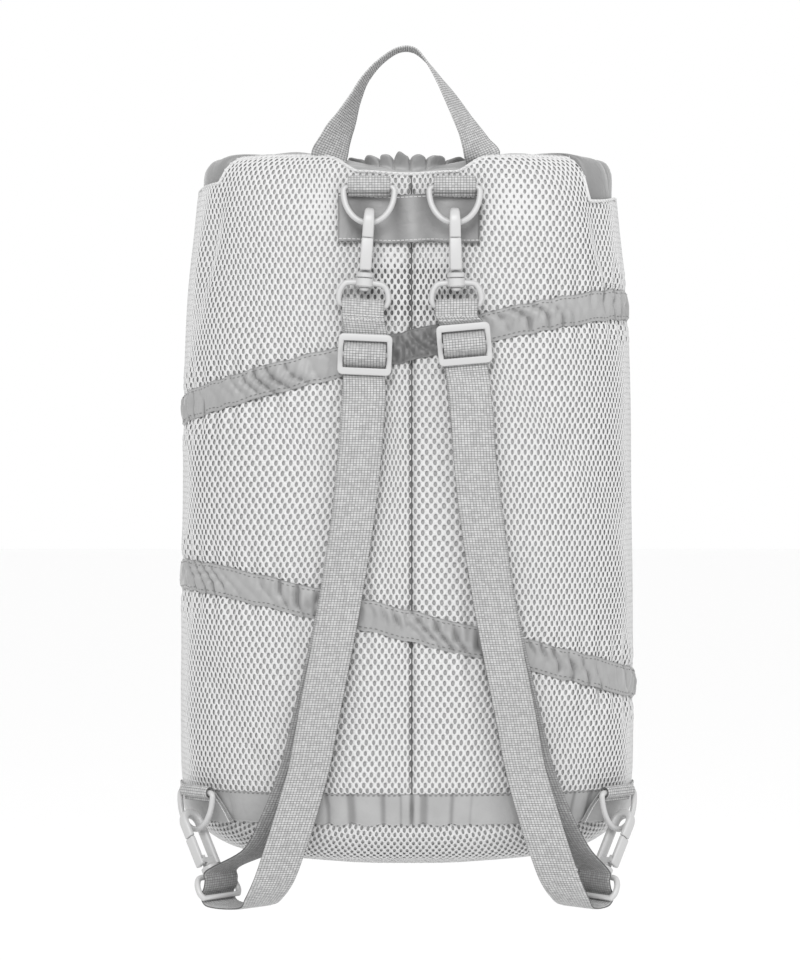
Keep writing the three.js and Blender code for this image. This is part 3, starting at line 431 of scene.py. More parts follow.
# %% [markdown]
# ## Dents of the real cloth
# The solids have the large hollows. The cloth adds what is smaller: the groove of the seam,
# puckers where the tapes draw the mesh in, level seams of the yoke between the hooks, and long
# creases, each a straight line from a top to a foot, where the hanging cloth folds.


# %% How far the solids' cloth is pushed in
def tape_height(tape, point):
    middle, slope, rise = tape
    facing = np.maximum(0, -point[..., 1] / BODY_ROWS[MIDDLE_ROW][2])
    return middle + slope * point[..., 0] + rise * facing


def hollow_depth(point):
    x, y, z = np.moveaxis(point, -1, 0)
    facing = smoothstep(z, HEM_HIGH, HEM_HIGH + BASE_FADE) * smoothstep(-y, *FRONT_FADE)
    hollows = sum(
        deep * bell((x - at_x) / wide) * bell((z - at_z) / tall)
        for _, at_x, at_z, wide, tall, deep in HOLLOWS
    )
    cinches = sum(bell((z - tape_height(tape, point)) / TAPE_CINCH_TALL) for tape in TAPES)
    return facing * hollows + TAPE_CINCH * cinches


# %% How far the real cloth is pushed in besides
GROOVE = {"deep": 4.2, "wide": 2.2, "foot": (56, 62), "top": (452, 462)}
PUCKER = {"deep": 0.9, "pitch": 15.0, "from_tape": 17, "tall": 11}
YOKE_SEAMS = {"heights": (401, 377), "x": (-28, 36), "fade": 4, "deep": 1.6, "tall": 1.8}
# Top and foot as x and z, then how deep and how wide.
CREASES = [
    ((124, 452), (142, 388), 5.0, 6.0),
    ((-125, 458), (-144, 380), 4.0, 5.0),
    ((-43, 468), (-40, 415), 3.2, 4.5),
    ((47, 468), (45, 415), 3.2, 4.5),
    ((-140, 130), (-92, 66), 2.4, 8.0),
    ((-128, 108), (-74, 64), -2.0, 7.0),
    ((140, 128), (96, 72), 1.8, 9.0),
    ((-20, 150), (-36, 66), -1.6, 8.0),
    ((30, 150), (44, 64), -1.6, 8.0),
    ((-120, 330), (-70, 300), 1.4, 9.0),
    ((118, 300), (80, 240), 1.4, 9.0),
]


def fine_depth(arc, point):
    x, y, z = np.moveaxis(point, -1, 0)
    front = smoothstep(-y, *FRONT_FADE)
    ends = smoothstep(z, *GROOVE["foot"]) * (1 - smoothstep(z, *GROOVE["top"]))
    groove = GROOVE["deep"] * ends * bell((x - SEAM_X) / GROOVE["wide"]) * front
    wave = np.cos(2 * np.pi * arc / PUCKER["pitch"] + 1.7 * np.sin(arc / 31))
    puckers = sum(
        bell((np.abs(z - tape_height(tape, point)) - PUCKER["from_tape"]) / PUCKER["tall"])
        for tape in TAPES
    )
    yoke = within(x, *YOKE_SEAMS["x"], YOKE_SEAMS["fade"]) * front
    seams = sum(bell((z - height) / YOKE_SEAMS["tall"]) for height in YOKE_SEAMS["heights"])
    creases = 0
    for top, foot, deep, wide in CREASES:
        long = math.dist(top, foot)
        run_x, run_z = np.subtract(foot, top) / long
        aside = (x - top[0]) * run_z - (z - top[1]) * run_x
        down = ((x - top[0]) * run_x + (z - top[1]) * run_z) / long
        creases = creases + deep * bell(aside / wide) * bell(2 * down - 1) * (y < 0)
    return groove + PUCKER["deep"] * wave * puckers + YOKE_SEAMS["deep"] * yoke * seams + creases


# %% Points and normals of the tube and the base
def body_point(arc, t, fine=True):
    arc, t = np.broadcast_arrays(np.asarray(arc, float), np.asarray(t, float))
    angle, row = ring_angle(arc), row_at(BODY_ROWS, t)
    point = ring_point(row, angle)
    power = 2 - 2 / ROUNDNESS
    out_x = signed_power(np.sin(angle), power) / row[..., 1]
    out_y = -signed_power(np.cos(angle), power) / ring_depth(row, angle)
    outward = unit(np.stack([out_x, out_y, np.zeros_like(out_x)], -1))
    inwards = hollow_depth(point)
    if fine:
        inwards = inwards + fine_depth(signed_arc(arc), point)
    point = point - outward * inwards[..., None]
    point[..., 2] -= DIP_DEPTH * smoothstep(t, *DIP_ROWS) * bell(signed_arc(arc) / DIP_ARC)
    return point


def smooth_body(arc, t):
    return body_point(arc, t, fine=False)


def base_point(arc, t):
    arc, t = np.broadcast_arrays(np.asarray(arc, float), np.asarray(t, float))
    return ring_point(row_at(BASE_ROWS, t), ring_angle(arc))


def normal_at(surface, arc, t):
    step_arc, step_row = 1.5, 0.02
    across = surface(arc + step_arc, t) - surface(arc - step_arc, t)
    up = surface(arc, t + step_row) - surface(arc, t - step_row)
    return unit(np.cross(across, up))


def body_offset(arc, t, out, surface=smooth_body):
    return surface(arc, t) + normal_at(smooth_body, arc, t) * np.asarray(out)[..., None]


# %% Rows at a height, places by x and z, and the row of the top edge
SEARCH_STEPS = 24


def row_at_height(arc, height):
    low = np.zeros_like(np.asarray(arc, float))
    high = np.full_like(low, len(BODY_ROWS) - 5)
    for _ in range(SEARCH_STEPS):
        middle = (low + high) / 2
        point = smooth_body(arc, middle)
        below = point[..., 2] < height(point)
        low, high = np.where(below, middle, low), np.where(below, high, middle)
    return (low + high) / 2


def locate(x, z):
    x, z = np.broadcast_arrays(np.asarray(x, float), np.asarray(z, float))
    arc = x.copy()
    for _ in range(SEARCH_STEPS):
        t = row_at_height(arc, lambda point: z)
        arc = arc + x - smooth_body(arc, t)[..., 0]
    return arc, t


def offset_at(x, z, out):
    return body_offset(*locate(x, z), out)


def rim_row(arc):
    arc = signed_arc(arc)
    k = np.clip(np.searchsorted(RIM_ARCS, arc), 1, len(RIM_ARCS) - 1)
    part = smoothstep(arc, RIM_ARCS[k - 1], RIM_ARCS[k])
    return RIM_ROWS[k - 1] + (RIM_ROWS[k] - RIM_ROWS[k - 1]) * part


# %% [markdown]
# ## Making cloth from a grid
# Cloth with regular folds is easiest to make from rows of points: a grid of places on the tube,
# pushed out by a function for the folds. The small functions below turn such arrays into a mesh
# object at the origin, give it its material and let it ride with its body.


def finish_piece(piece, material, body="sack", replaces=None):
    piece.data.materials.clear()
    piece.data.materials.append(material)
    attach(piece, body)
    if replaces:
        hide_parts(replaces)
    print(f"{piece.name}: {len(piece.data.polygons)} faces")
    return piece


def cloth_piece(name, points, faces, material, replaces=None, uv=None, painted_shade=None):
    faces = np.asarray(faces)
    mesh = bpy.data.meshes.new(name)
    mesh.vertices.add(len(points))
    mesh.vertices.foreach_set("co", to_frame(points).astype(np.float32).ravel())
    mesh.loops.add(faces.size)
    mesh.loops.foreach_set("vertex_index", faces.astype(np.int32).ravel())
    mesh.polygons.add(len(faces))
    starts = np.arange(0, faces.size, faces.shape[1], dtype=np.int32)
    mesh.polygons.foreach_set("loop_start", starts)
    mesh.polygons.foreach_set("use_smooth", np.ones(len(faces), bool))
    if uv is not None:
        layer = mesh.uv_layers.new(name="weave")
        layer.data.foreach_set("uv", np.asarray(uv, np.float32)[faces.ravel()].ravel())
    if painted_shade is not None:
        values = mesh.attributes.new("painted_shade", "FLOAT", "POINT").data
        values.foreach_set("value", np.asarray(painted_shade, np.float32).ravel())
    mesh.update(calc_edges=True)
    mesh.validate()
    return finish_piece(new_object(name, mesh), material, replaces=replaces)


def grid_faces(rows, columns, looped=False):
    r, c = np.meshgrid(np.arange(rows - 1), np.arange(columns if looped else columns - 1))
    r, c = r.T.ravel(), c.T.ravel()
    d = (c + 1) % columns
    low, high = r * columns, (r + 1) * columns
    return np.stack([low + c, low + d, high + d, high + c], 1)


def thick_grid(outer, inner, looped=False):
    """Two walls, each a grid of points, closed along their open edges."""
    rows, columns = outer.shape[:2]
    count = rows * columns
    k = np.arange(columns if looped else columns - 1)
    foot = np.stack([k, (k + 1) % columns])
    side = np.stack([np.arange(rows - 1), np.arange(1, rows)]) * columns
    edges = [(foot, 1), (foot + count - columns, -1)]
    if not looped:
        edges += [(side, -1), (side + columns - 1, 1)]
    strips = [np.stack([a, b, b + count, a + count], 1)[:, ::step] for (a, b), step in edges]
    faces = grid_faces(rows, columns, looped)
    points = np.concatenate([outer.reshape(-1, 3), inner.reshape(-1, 3)])
    return points, np.concatenate([faces, faces[:, ::-1] + count, *strips])


def through_stops(stops, steps):
    """A wall of points from a few lines of points, with a smooth run across them."""
    lines = np.stack(stops)
    count = len(lines)
    return row_at(lines.reshape(count, -1), np.linspace(0, count - 1, steps)).reshape(steps, -1, 3)


# %% [markdown]
# ## The net
# The face of the mesh is a lattice of six-sided cells, each with an oval hole. Knitting such a
# cloth is out of reach, and a picture of holes would look flat from the side, so the holes are
# cut in the mesh itself: one ring of triangles from each cell's outline down to its hole. The
# hole's edge lies deeper than the outline, which rounds the yarn. The pitch is 4.4 by 3.6 mm.
# Real knitting is never even, so the places and the holes' sizes vary a little.

# %% Lattice cells
NET_COLUMNS, ROW_PITCH = 190, 3.6
HOLE_HALF_WIDE, HOLE_HALF_TALL, HOLE_SINK = 0.232, 0.5, 0.9
PLACE_VARIES, SIZE_VARIES = 0.025, 0.05
CELL_CORNERS = np.array(
    [(0, 0.673), (-0.5, 0.327), (-0.5, -0.327), (0, -0.673), (0.5, -0.327), (0.5, 0.327)]
)
CELL_ASPECT = ROW_PITCH * NET_COLUMNS / ROUND
SIDES = len(CELL_CORNERS)

edge_middles = (CELL_CORNERS + np.roll(CELL_CORNERS, -1, 0)) / 2
spokes = np.stack([CELL_CORNERS, edge_middles], 1).reshape(-1, 2)
hole_turns = np.arctan2(spokes[:, 1] * CELL_ASPECT, spokes[:, 0])
HOLE_RING = np.stack([HOLE_HALF_WIDE * np.cos(hole_turns), HOLE_HALF_TALL * np.sin(hole_turns)], 1)
ring_faces = []
for k in range(SIDES):
    after = (k + 1) % SIDES
    hole_here, hole_middle, hole_after = SIDES + 2 * k, SIDES + 2 * k + 1, SIDES + 2 * after
    ring_faces += [(k, hole_middle, hole_here), (k, after, hole_middle)]
    ring_faces += [(after, hole_after, hole_middle)]
RING_FACES = np.array(ring_faces)


def uneven(places):
    """Two numbers from -1 to 1 for each place, without order but the same each time."""
    return np.sin(np.asarray(places) @ np.array([[127.1, 269.5], [311.7, 183.3]]))


def net_cells(centres, hole_sizes):
    """Lattice places of all the cells' points, whether each is on a hole, and the faces."""
    corners = (centres[:, None] + CELL_CORNERS).reshape(-1, 2)
    keys = np.round(corners * 1000).astype(np.int64)
    _, first, back = np.unique(keys, axis=0, return_index=True, return_inverse=True)
    back = back.reshape(len(centres), SIDES)
    moved = centres + PLACE_VARIES * uneven(centres)
    holes = (moved[:, None] + HOLE_RING * hole_sizes[:, None, None]).reshape(-1, 2)
    hole_index = len(first) + np.arange(len(holes)).reshape(len(centres), 2 * SIDES)
    index = np.concatenate([back, hole_index], 1)
    outline = corners[first] + PLACE_VARIES * uneven(np.round(corners[first], 3))
    places = np.concatenate([outline, holes])
    on_hole = np.arange(len(places)) >= len(first)
    return places, on_hole, index[:, RING_FACES].reshape(-1, 3)


# %% Table of rows by length up the cloth and arc
TABLE_ARCS, TABLE_SHARES = np.linspace(0, ROUND, 361), np.linspace(0, 1, 241)
TOP_ROW = 8.8
fine_rows = np.repeat(TABLE_SHARES[:, None] * TOP_ROW, len(TABLE_ARCS), 1)
lengths = run_lengths(smooth_body(np.broadcast_to(TABLE_ARCS, fine_rows.shape), fine_rows))
LONGEST = lengths.max()
NET_ROWS = math.ceil(LONGEST / ROW_PITCH)
ROW_TABLE = np.empty(fine_rows.shape)
for k in range(len(TABLE_ARCS)):
    ROW_TABLE[:, k] = np.interp(TABLE_SHARES * LONGEST, lengths[:, k], fine_rows[:, k])


def blend_table(table, share, across):
    r = np.clip(share, 0, 1) * (table.shape[0] - 1)
    c = np.clip(across, 0, 1) * (table.shape[1] - 1)
    r0 = np.minimum(r.astype(int), table.shape[0] - 2)
    c0 = np.minimum(c.astype(int), table.shape[1] - 2)
    fr, fc = (part.reshape(-1, *[1] * (table.ndim - 2)) for part in (r - r0, c - c0))
    low = table[r0, c0] * (1 - fc) + table[r0, c0 + 1] * fc
    high = table[r0 + 1, c0] * (1 - fc) + table[r0 + 1, c0 + 1] * fc
    return low * (1 - fr) + high * fr


print("rows of the net:", NET_ROWS)

# %% Where a lattice place lies on the tube
# Places where the cloth is drawn wide or left slack: arc, share up, reach, tall, shift.
EASES = [(-120, 0.52, 52, 0.16, 15), (-20, 0.3, 60, 0.25, 9), (75, 0.85, 40, 0.2, 7)]
# Slow drift of the lattice: waves round the tube, waves up it, and how far in mm.
DRIFTS = [(9, 4.5, 1.0), (14, 7.0, 0.6)]
# Half the slit that shows between the two edges of the seam, and how far the seam holds the net.
SEAM_GAP, SEAM_HOLDS = 0.45, 24
# Places where slack cloth closes its holes: x, z, reach sideways and up, and how far.
CLOSED = [(-52, 447, 17, 15, 0.35), (72, 447, 17, 15, 0.3), (-13, 411, 10, 8, 0.3)]
CLOSED += [(24, 411, 8, 8, 0.3)]


def net_spot(places):
    """Arc and row of lattice places, as far as the cloth goes, and whether they are on it."""
    share, turn = places[:, 1] * ROW_PITCH / LONGEST, places[:, 0] / NET_COLUMNS
    arc = turn * ROUND + SEAM_X
    drift = sum(
        far * np.sin(2 * np.pi * (turn * round_waves + share * up_waves))
        for round_waves, up_waves, far in DRIFTS
    )
    for at, up, reach, tall, shift in EASES:
        far = signed_arc(arc - at) / reach
        drift = drift + shift * np.tanh(far) * bell(far / 3) * bell((share - up) / tall)
    arc = arc + drift * (1 - bell(signed_arc(arc - SEAM_X) / SEAM_HOLDS))
    arc = np.clip(arc, SEAM_X + SEAM_GAP, SEAM_X + ROUND - SEAM_GAP)
    t = blend_table(ROW_TABLE, share, np.mod(arc, ROUND) / ROUND)
    rim = rim_row(arc)
    return arc, np.minimum(t, rim), t < rim


def hole_sizes(centres, arc, t):
    x, y, z = smooth_body(arc, t).T
    shut = sum(
        far * bell((x - at_x) / wide) * bell((z - at_z) / tall)
        for at_x, at_z, wide, tall, far in CLOSED
    )
    return (1 + SIZE_VARIES * uneven(centres[:, ::-1])[:, 0]) * (1 - shut * (y < 0))


# %% Four panels of the net, from the seam round to the middle of the far side
PANELS = ("right_front", "right_back", "left_back", "left_front")
rows, columns = (k.ravel() for k in np.indices((NET_ROWS, NET_COLUMNS)))
all_centres = np.stack([columns + 0.5 * (rows % 2), rows + 0.5], 1)
for k, name in enumerate(PANELS):
    quarter = NET_COLUMNS / len(PANELS)
    centres = all_centres[(columns >= k * quarter) & (columns < (k + 1) * quarter)]
    arc, t, on_cloth = net_spot(centres)
    sizes = hole_sizes(centres, arc, t)
    places, on_hole, faces = net_cells(centres[on_cloth], sizes[on_cloth])
    arc, t, _ = net_spot(places)
    points = body_offset(arc, t, np.where(on_hole, -HOLE_SINK, 0.0), body_point)
    panel = cloth_piece(f"net_{name}", points, faces, NET, replaces="mesh_body")

# %% The closed back of the sandwich mesh, under the net, with painted shade in the yoke and the seam
BACK_SINK, BACK_ARCS, BACK_ROWS = 1.7, 300, 161
YOKE_X, YOKE_Z, YOKE_FADE, SEAM_SHADE_REACH = (-25, 34), (372, 404), 7, 1.1
BY_THE_SEAM = SEAM_X + np.array([-2.4, -1.6, -0.8, 0, 0.8, 1.6, 2.4])
back_arcs = np.unique(np.concatenate([arcs_round(BACK_ARCS), BY_THE_SEAM]))
arcs, shares = np.meshgrid(back_arcs, np.linspace(0, 1, BACK_ROWS))
points = body_offset(arcs, shares * rim_row(arcs), -BACK_SINK, body_point).reshape(-1, 3)
# Painted shade in the yoke between the hooks, where the hollow lies in shade, and a thin line of
# painted shade in the slit along the seam.
yoke = within(points[:, 0], *YOKE_X, YOKE_FADE) * within(points[:, 2], *YOKE_Z, YOKE_FADE)
by_seam = bell((arcs.ravel() - SEAM_X) / SEAM_SHADE_REACH)
painted_shade = np.maximum(yoke * (points[:, 1] < 0), by_seam)
faces = grid_faces(*arcs.shape, looped=True)
net_back = cloth_piece("net_backing", points, faces, NET_BACK, painted_shade=painted_shade)

# %% [markdown]
# ## The bottom of the sack
# The base is one flat oval of the same mesh, bent up all round to meet the tube. A flat lattice
# is therefore laid out first and then wrapped: its distance from the middle becomes the length
# along the bent base, so the cells keep their size from the floor to the seam.

# %% Table of the wrapped base
BASE_STOPS, BASE_SAG = 120, 1.0
table_rows = np.linspace(len(BASE_ROWS) - 1, 0, BASE_STOPS)[:, None]
base_middle = np.zeros((1, len(TABLE_ARCS), 3)) + (0, 0, BASE_ROWS[-1][0] - BASE_SAG)
base_rings = np.concatenate([base_middle, base_point(TABLE_ARCS, table_rows)])
base_lengths = run_lengths(base_rings)
BASE_REACH = base_lengths[-1]
BASE_TABLE = np.empty((len(TABLE_SHARES), len(TABLE_ARCS), 3))
for k, axis in np.ndindex(len(TABLE_ARCS), 3):
    stops = TABLE_SHARES * BASE_REACH[k]
    BASE_TABLE[:, k, axis] = np.interp(stops, base_lengths[:, k], base_rings[:, k, axis])
BASE_BEARINGS = np.unwrap(np.arctan2(base_rings[-1, :, 0], -base_rings[-1, :, 1]))


def base_shares(flat):
    """Shares of the way out to the seam and round it, of places on the flat oval."""
    bearing = np.mod(np.arctan2(flat[:, 0], -flat[:, 1]), 2 * np.pi)
    arc = np.interp(bearing, BASE_BEARINGS, TABLE_ARCS)
    return np.linalg.norm(flat, axis=1) / np.interp(arc, TABLE_ARCS, BASE_REACH), arc / ROUND


def base_place(share, across, sink):
    points = blend_table(BASE_TABLE, share, across)
    return points + unit(np.array([0, 0, HEM_HIGH]) - points) * np.asarray(sink)[..., None]


# %% Net of the base
BASE_CELL = np.array([4.6, 3.7])
count_x, count_y = (np.array([200, 150]) / BASE_CELL).astype(int)
grid_y, grid_x = np.mgrid[-count_y : count_y + 1, -count_x : count_x + 1]
base_centres = np.stack([(grid_x + 0.5 * (grid_y % 2)).ravel(), grid_y.ravel()], 1)
base_centres = base_centres[base_shares(base_centres * BASE_CELL)[0] < 1]
places, on_hole, faces = net_cells(base_centres, np.ones(len(base_centres)))
points = base_place(*base_shares(places * BASE_CELL), np.where(on_hole, HOLE_SINK, 0.0))
net_base = cloth_piece("net_base", points, faces[:, ::-1], NET, replaces="mesh_base")

# %% Closed back of the base
DISC_RINGS, DISC_ARCS, DISC_START = 60, 180, 0.01
disc_shares = np.linspace(DISC_START, 1, DISC_RINGS)
shares, arcs = np.meshgrid(disc_shares, arcs_round(DISC_ARCS), indexing="ij")
points = base_place(shares.ravel(), arcs.ravel() / ROUND, BACK_SINK)
faces = grid_faces(*shares.shape, looped=True)
base_back = cloth_piece("net_base_backing", points, faces, NET_BACK)

# %% [markdown]
# ## Stitches
# A row of lock stitches shows as short raised dashes whose ends dive into the cloth. One stitch
# is a bent tube of a few faces, and a whole row is made as one mesh from arrays, because there
# are hundreds of them.

# %% A row of stitches along points on the cloth
STITCH_BEND = ((-0.5, -0.8), (-0.25, 0.3), (0.25, 0.3), (0.5, -0.8))
STITCH_SIDES = 5
# The tapes and hem are sewn with the thread that paints the shade of the stitch holes.
FINE_STITCH = {"long": 2.0, "radius": 0.28, "material": SHADE_PAINTED_THREAD}


def stitch_points(middles, runs, normals, long, radius):
    runs, normals = unit(runs), unit(normals)
    sides = np.cross(runs, normals)
    rings = []
    for along, up in STITCH_BEND:
        for turn in 2 * np.pi * np.arange(STITCH_SIDES) / STITCH_SIDES:
            thick = normals * radius * (up + np.sin(turn)) + sides * radius * np.cos(turn)
            rings.append(middles + runs * along * long + thick)
    return np.stack(rings, 1).reshape(-1, 3)


def stitch_piece(name, rows, long=2.6, radius=0.32, material=THREAD):
    points = np.concatenate([stitch_points(*row, long, radius) for row in rows])
    one = grid_faces(len(STITCH_BEND), STITCH_SIDES, looped=True)
    starts = np.arange(0, len(points), len(STITCH_BEND) * STITCH_SIDES)
    return cloth_piece(name, points, (starts[:, None, None] + one).reshape(-1, 4), material)


def run_round(line):
    return np.roll(line, -1, 0) - np.roll(line, 1, 0)


# %% [markdown]
# ## Slanting tapes
# Two nylon tapes are sewn round the tube on a slant. Each was cut longer than the tube is round
# and eased in, so its surface is full of short, soft folds that bend over from one sewn edge to
# the other. A grid along the tape is pushed out by two waves whose length and lean wander. The
# tapes get a little painted shade all over and more in their fold valleys, and the upper tape a
# painted shadow of the straps where it runs between them.

# %% Gathered tapes with a stitch line inside each edge
TAPE_EDGE, TAPE_CROWN, TAPE_INNER, TAPE_THINNEST = 1.0, 2.3, 0.1, 0.5
FOLD_DEEP, FOLD_PITCH, CROSS_PITCH = 1.9, 11.5, 0.62 * 11.5
TAPE_COLUMNS, TAPE_ACROSS, STITCH_STEP = 960, 21, 4
# Painted shade on the tapes: a little all over, more in the fold valleys, and a painted shadow of
# the straps on the upper tape between them.
TAPE_PAINTED_SHADE, FOLD_PAINTED_SHADE, STRAP_SHADOW_X, STRAP_SHADOW_FADE = 0.15, 0.7, (-14, 26), 9


def wander(arc, seed):
    """A slow irregular drift, the same each time."""
    slow = np.sin(arc / 23 + seed) + 0.7 * np.sin(arc / 9.7 + 2.1 * seed)
    return slow + 0.5 * np.sin(arc / 57 - seed)


def tape_piece(name, tape, node, seed):
    arcs = arcs_round(TAPE_COLUMNS)
    ripple = 0.5 * np.sin(arcs / 4.3 + 2 * wander(arcs, seed + 1))
    low, high = (
        row_at_height(arcs, lambda p: tape_height(tape, p) + side * TAPE_WIDE / 2 + ripple)
        for side in (-1, 1)
    )
    s = np.linspace(-1, 1, TAPE_ACROSS)[:, None]
    rows = low + (high - low) * (s + 1) / 2
    grid = np.broadcast_to(arcs, rows.shape)
    lean = s * (0.45 + 0.4 * np.sin(arcs / 37 + seed)) + 0.16 * np.sin(3 * s + arcs / 19)
    phase = 2 * np.pi * (arcs / FOLD_PITCH + lean) + 1.6 * wander(arcs, seed)
    cross = 2 * np.pi * (arcs / CROSS_PITCH - 0.7 * lean) + wander(arcs, 3 * seed)
    size = 0.6 + 0.4 * np.sin(arcs / 13 + 3 * seed + s)
    folds = np.abs(np.sin(phase / 2)) * 2 - 1.2 + 0.35 * np.sin(cross)
    fold = FOLD_DEEP * size * folds * (1 - s**4)
    crown = TAPE_EDGE + (TAPE_CROWN - TAPE_EDGE) * (1 - s**2)
    swell = np.sqrt(np.clip(1 - s**6, 0, 1))
    outer = body_offset(grid, rows, np.maximum(GAP + crown * swell + fold, TAPE_THINNEST))
    points, faces = thick_grid(outer, body_offset(grid, rows, TAPE_INNER), looped=True)
    # Painted shadow of the straps on the front of the upper tape.
    strap_shadow = within(points[:, 0], *STRAP_SHADOW_X, STRAP_SHADOW_FADE)
    strap_shadow = strap_shadow * ((points[:, 1] < 0) & (tape is UPPER_TAPE))
    valleys = np.tile(smoothstep(-folds * size, 0.35, 0.95).ravel(), 2)
    painted_shade = np.maximum(TAPE_PAINTED_SHADE + FOLD_PAINTED_SHADE * valleys, strap_shadow)
    made = cloth_piece(name, points, faces, NYLON, node, painted_shade=painted_shade)
    sewn = []
    for k in (2, TAPE_ACROSS - 3):
        line = outer[k, ::STITCH_STEP]
        normals = normal_at(smooth_body, arcs[::STITCH_STEP], rows[k, ::STITCH_STEP])
        sewn.append((line, run_round(line), normals))
    threads = stitch_piece(f"{name}_stitches", sewn, **FINE_STITCH)


tape_piece("upper_tape", UPPER_TAPE, "upper_band", seed=0.4)
tape_piece("lower_tape", LOWER_TAPE, "lower_band", seed=1.9)

# %% [markdown]
# ## Hem
# The hem is a nylon tunnel round the bottom that covers the seam between tube and base. It is
# gathered into upright pleats, which are rounder than the folds of the tapes. It is slit at the
# seam of the strap side, where the stitches stop.

# %% Pleated hem
HEM_CROWN, HEM_ACROSS, HEM_INNER = 2.3, 15, -0.2
PLEAT_DEEP, PLEAT_PITCH, PLEAT_SCALLOP, PLEAT_REST = 1.5, 15.0, 2.4, 0.7
SLIT_WIDE, SLIT_UNSEWN = 1.4, 5
arcs = arcs_round(TAPE_COLUMNS)
ones = np.ones_like(arcs)
hem_high = row_at_height(arcs, lambda p: HEM_HIGH)
under = -normal_at(base_point, arcs, ones)
phase = 2 * np.pi * arcs / PLEAT_PITCH + 2.2 * wander(arcs, 0.9)
uneven_pleats = 0.55 + 0.45 * np.sin(arcs / 21 + 1.3)
pleats = PLEAT_REST + (np.abs(np.sin(phase / 2)) - PLEAT_REST) * uneven_pleats
slit = bell((signed_arc(arcs) - SEAM_X) / SLIT_WIDE)


def hem_wall(edge, crown, wave):
    low = base_point(arcs, ones) + under * (GAP + edge)[:, None]
    low[:, 2] -= PLEAT_SCALLOP * (wave - 0.5)
    middle = body_offset(arcs, 0 * ones, GAP + crown + PLEAT_DEEP * (wave - PLEAT_REST))
    return through_stops([low, middle, body_offset(arcs, hem_high, GAP + edge)], HEM_ACROSS)


sewn_down = 1 - slit
wave = pleats + (PLEAT_REST - pleats) * slit
outer = hem_wall(TAPE_EDGE * sewn_down, HEM_CROWN * sewn_down, wave)
inner = hem_wall(HEM_INNER * ones, HEM_INNER, PLEAT_REST * ones)
points, faces = thick_grid(outer, inner, looped=True)
# Painted shade in the pleats' valleys, and full painted shade in the slit.
valleys = np.maximum(FOLD_PAINTED_SHADE * smoothstep(0.6 - pleats, 0, 0.45), slit)
painted_shade = np.tile(valleys, 2 * HEM_ACROSS)
hem = cloth_piece("hem", points, faces, NYLON, "base_band", painted_shade=painted_shade)
line, inside = outer[-2], inner[-2]
sewn = np.flatnonzero(np.abs(signed_arc(arcs) - SEAM_X) > SLIT_UNSEWN)[::STITCH_STEP]
hem_row = (line[sewn], run_round(line)[sewn], (line - inside)[sewn])
hem_threads = stitch_piece("hem_stitches", [hem_row], **FINE_STITCH)

# %% [markdown]
# ## Mouth
# The mouth is a nylon collar that starts inside the mesh's top edge, runs in over the top and is
# drawn together, so that it stands up in the middle as a ruffle. The ruffle's ridges are placed
# one by one, as they lie on the real sack, and pleats run from them outwards over the top. Between
# round ridges the valleys are sharp, and the lip curls over inwards.

# %% Ridges of the ruffle, as arcs round the tube with their heights
RIDGES = [
    (-152, 0.8), (-97, 0.75), (-61, 0.8), (-18, 1.25), (34, 0.8), (78, 0.7), (150, 0.9),
    (205, 1.0), (262, 0.8), (318, 1.0), (375, 0.85), (432, 1.0), (490, 0.8), (546, 1.0),
    (600, 0.85),
]  # fmt: skip
RIDGE_ARCS, RIDGE_HEIGHTS = np.array([*RIDGES, (RIDGES[0][0] + ROUND, RIDGES[0][1])]).T
RIDGE_ROUND = 0.5
HAUL_ARC, HAUL_REACH = 54.5, 30


def ridge_wave(arc):
    """The ruffle's wave, 1 times the height on each ridge and -1 between ridges."""
    at = np.mod(arc - RIDGE_ARCS[0], ROUND) + RIDGE_ARCS[0]
    phase = np.interp(at, RIDGE_ARCS, np.arange(len(RIDGE_ARCS)))
    wave = 2 * np.abs(np.cos(np.pi * phase)) ** RIDGE_ROUND - 1
    return np.where(wave > 0, wave * np.interp(at, RIDGE_ARCS, RIDGE_HEIGHTS), wave)


def near_haul(arc):
    return bell((np.abs(signed_arc(arc)) - HAUL_ARC) / HAUL_REACH)


# %% Collar from the top edge to the ruffle
NYLON_THICK, COLLAR_ARCS, COLLAR_STEPS = 1.2, 600, 40
COLLAR_TUCK, TUCK_GAP, HAUL_GAP = 0.4, 1.2, 5.2
COLLAR_STOPS = (0.2, 0.4, 0.66, 0.85)
MOUTH_Y, RUFFLE_RISE, RUFFLE_WAVE, RUFFLE_LIFT, PLEAT_WAVE = -19, 6.0, 4.4, 2.6, 2.4
LIP_CURL, LIP_DROP = 3.2, 1.0
FRONT_SAG, FOOT_SAG, FRONT_SAG_ARC = 8.5, 3.0, 62
CORNER_PAINTED_SHADE, CORNER_ARCS, CORNER_FADE, RIDGE_PAINTED_SHADE = 0.6, (120, 215), 12, 0.14


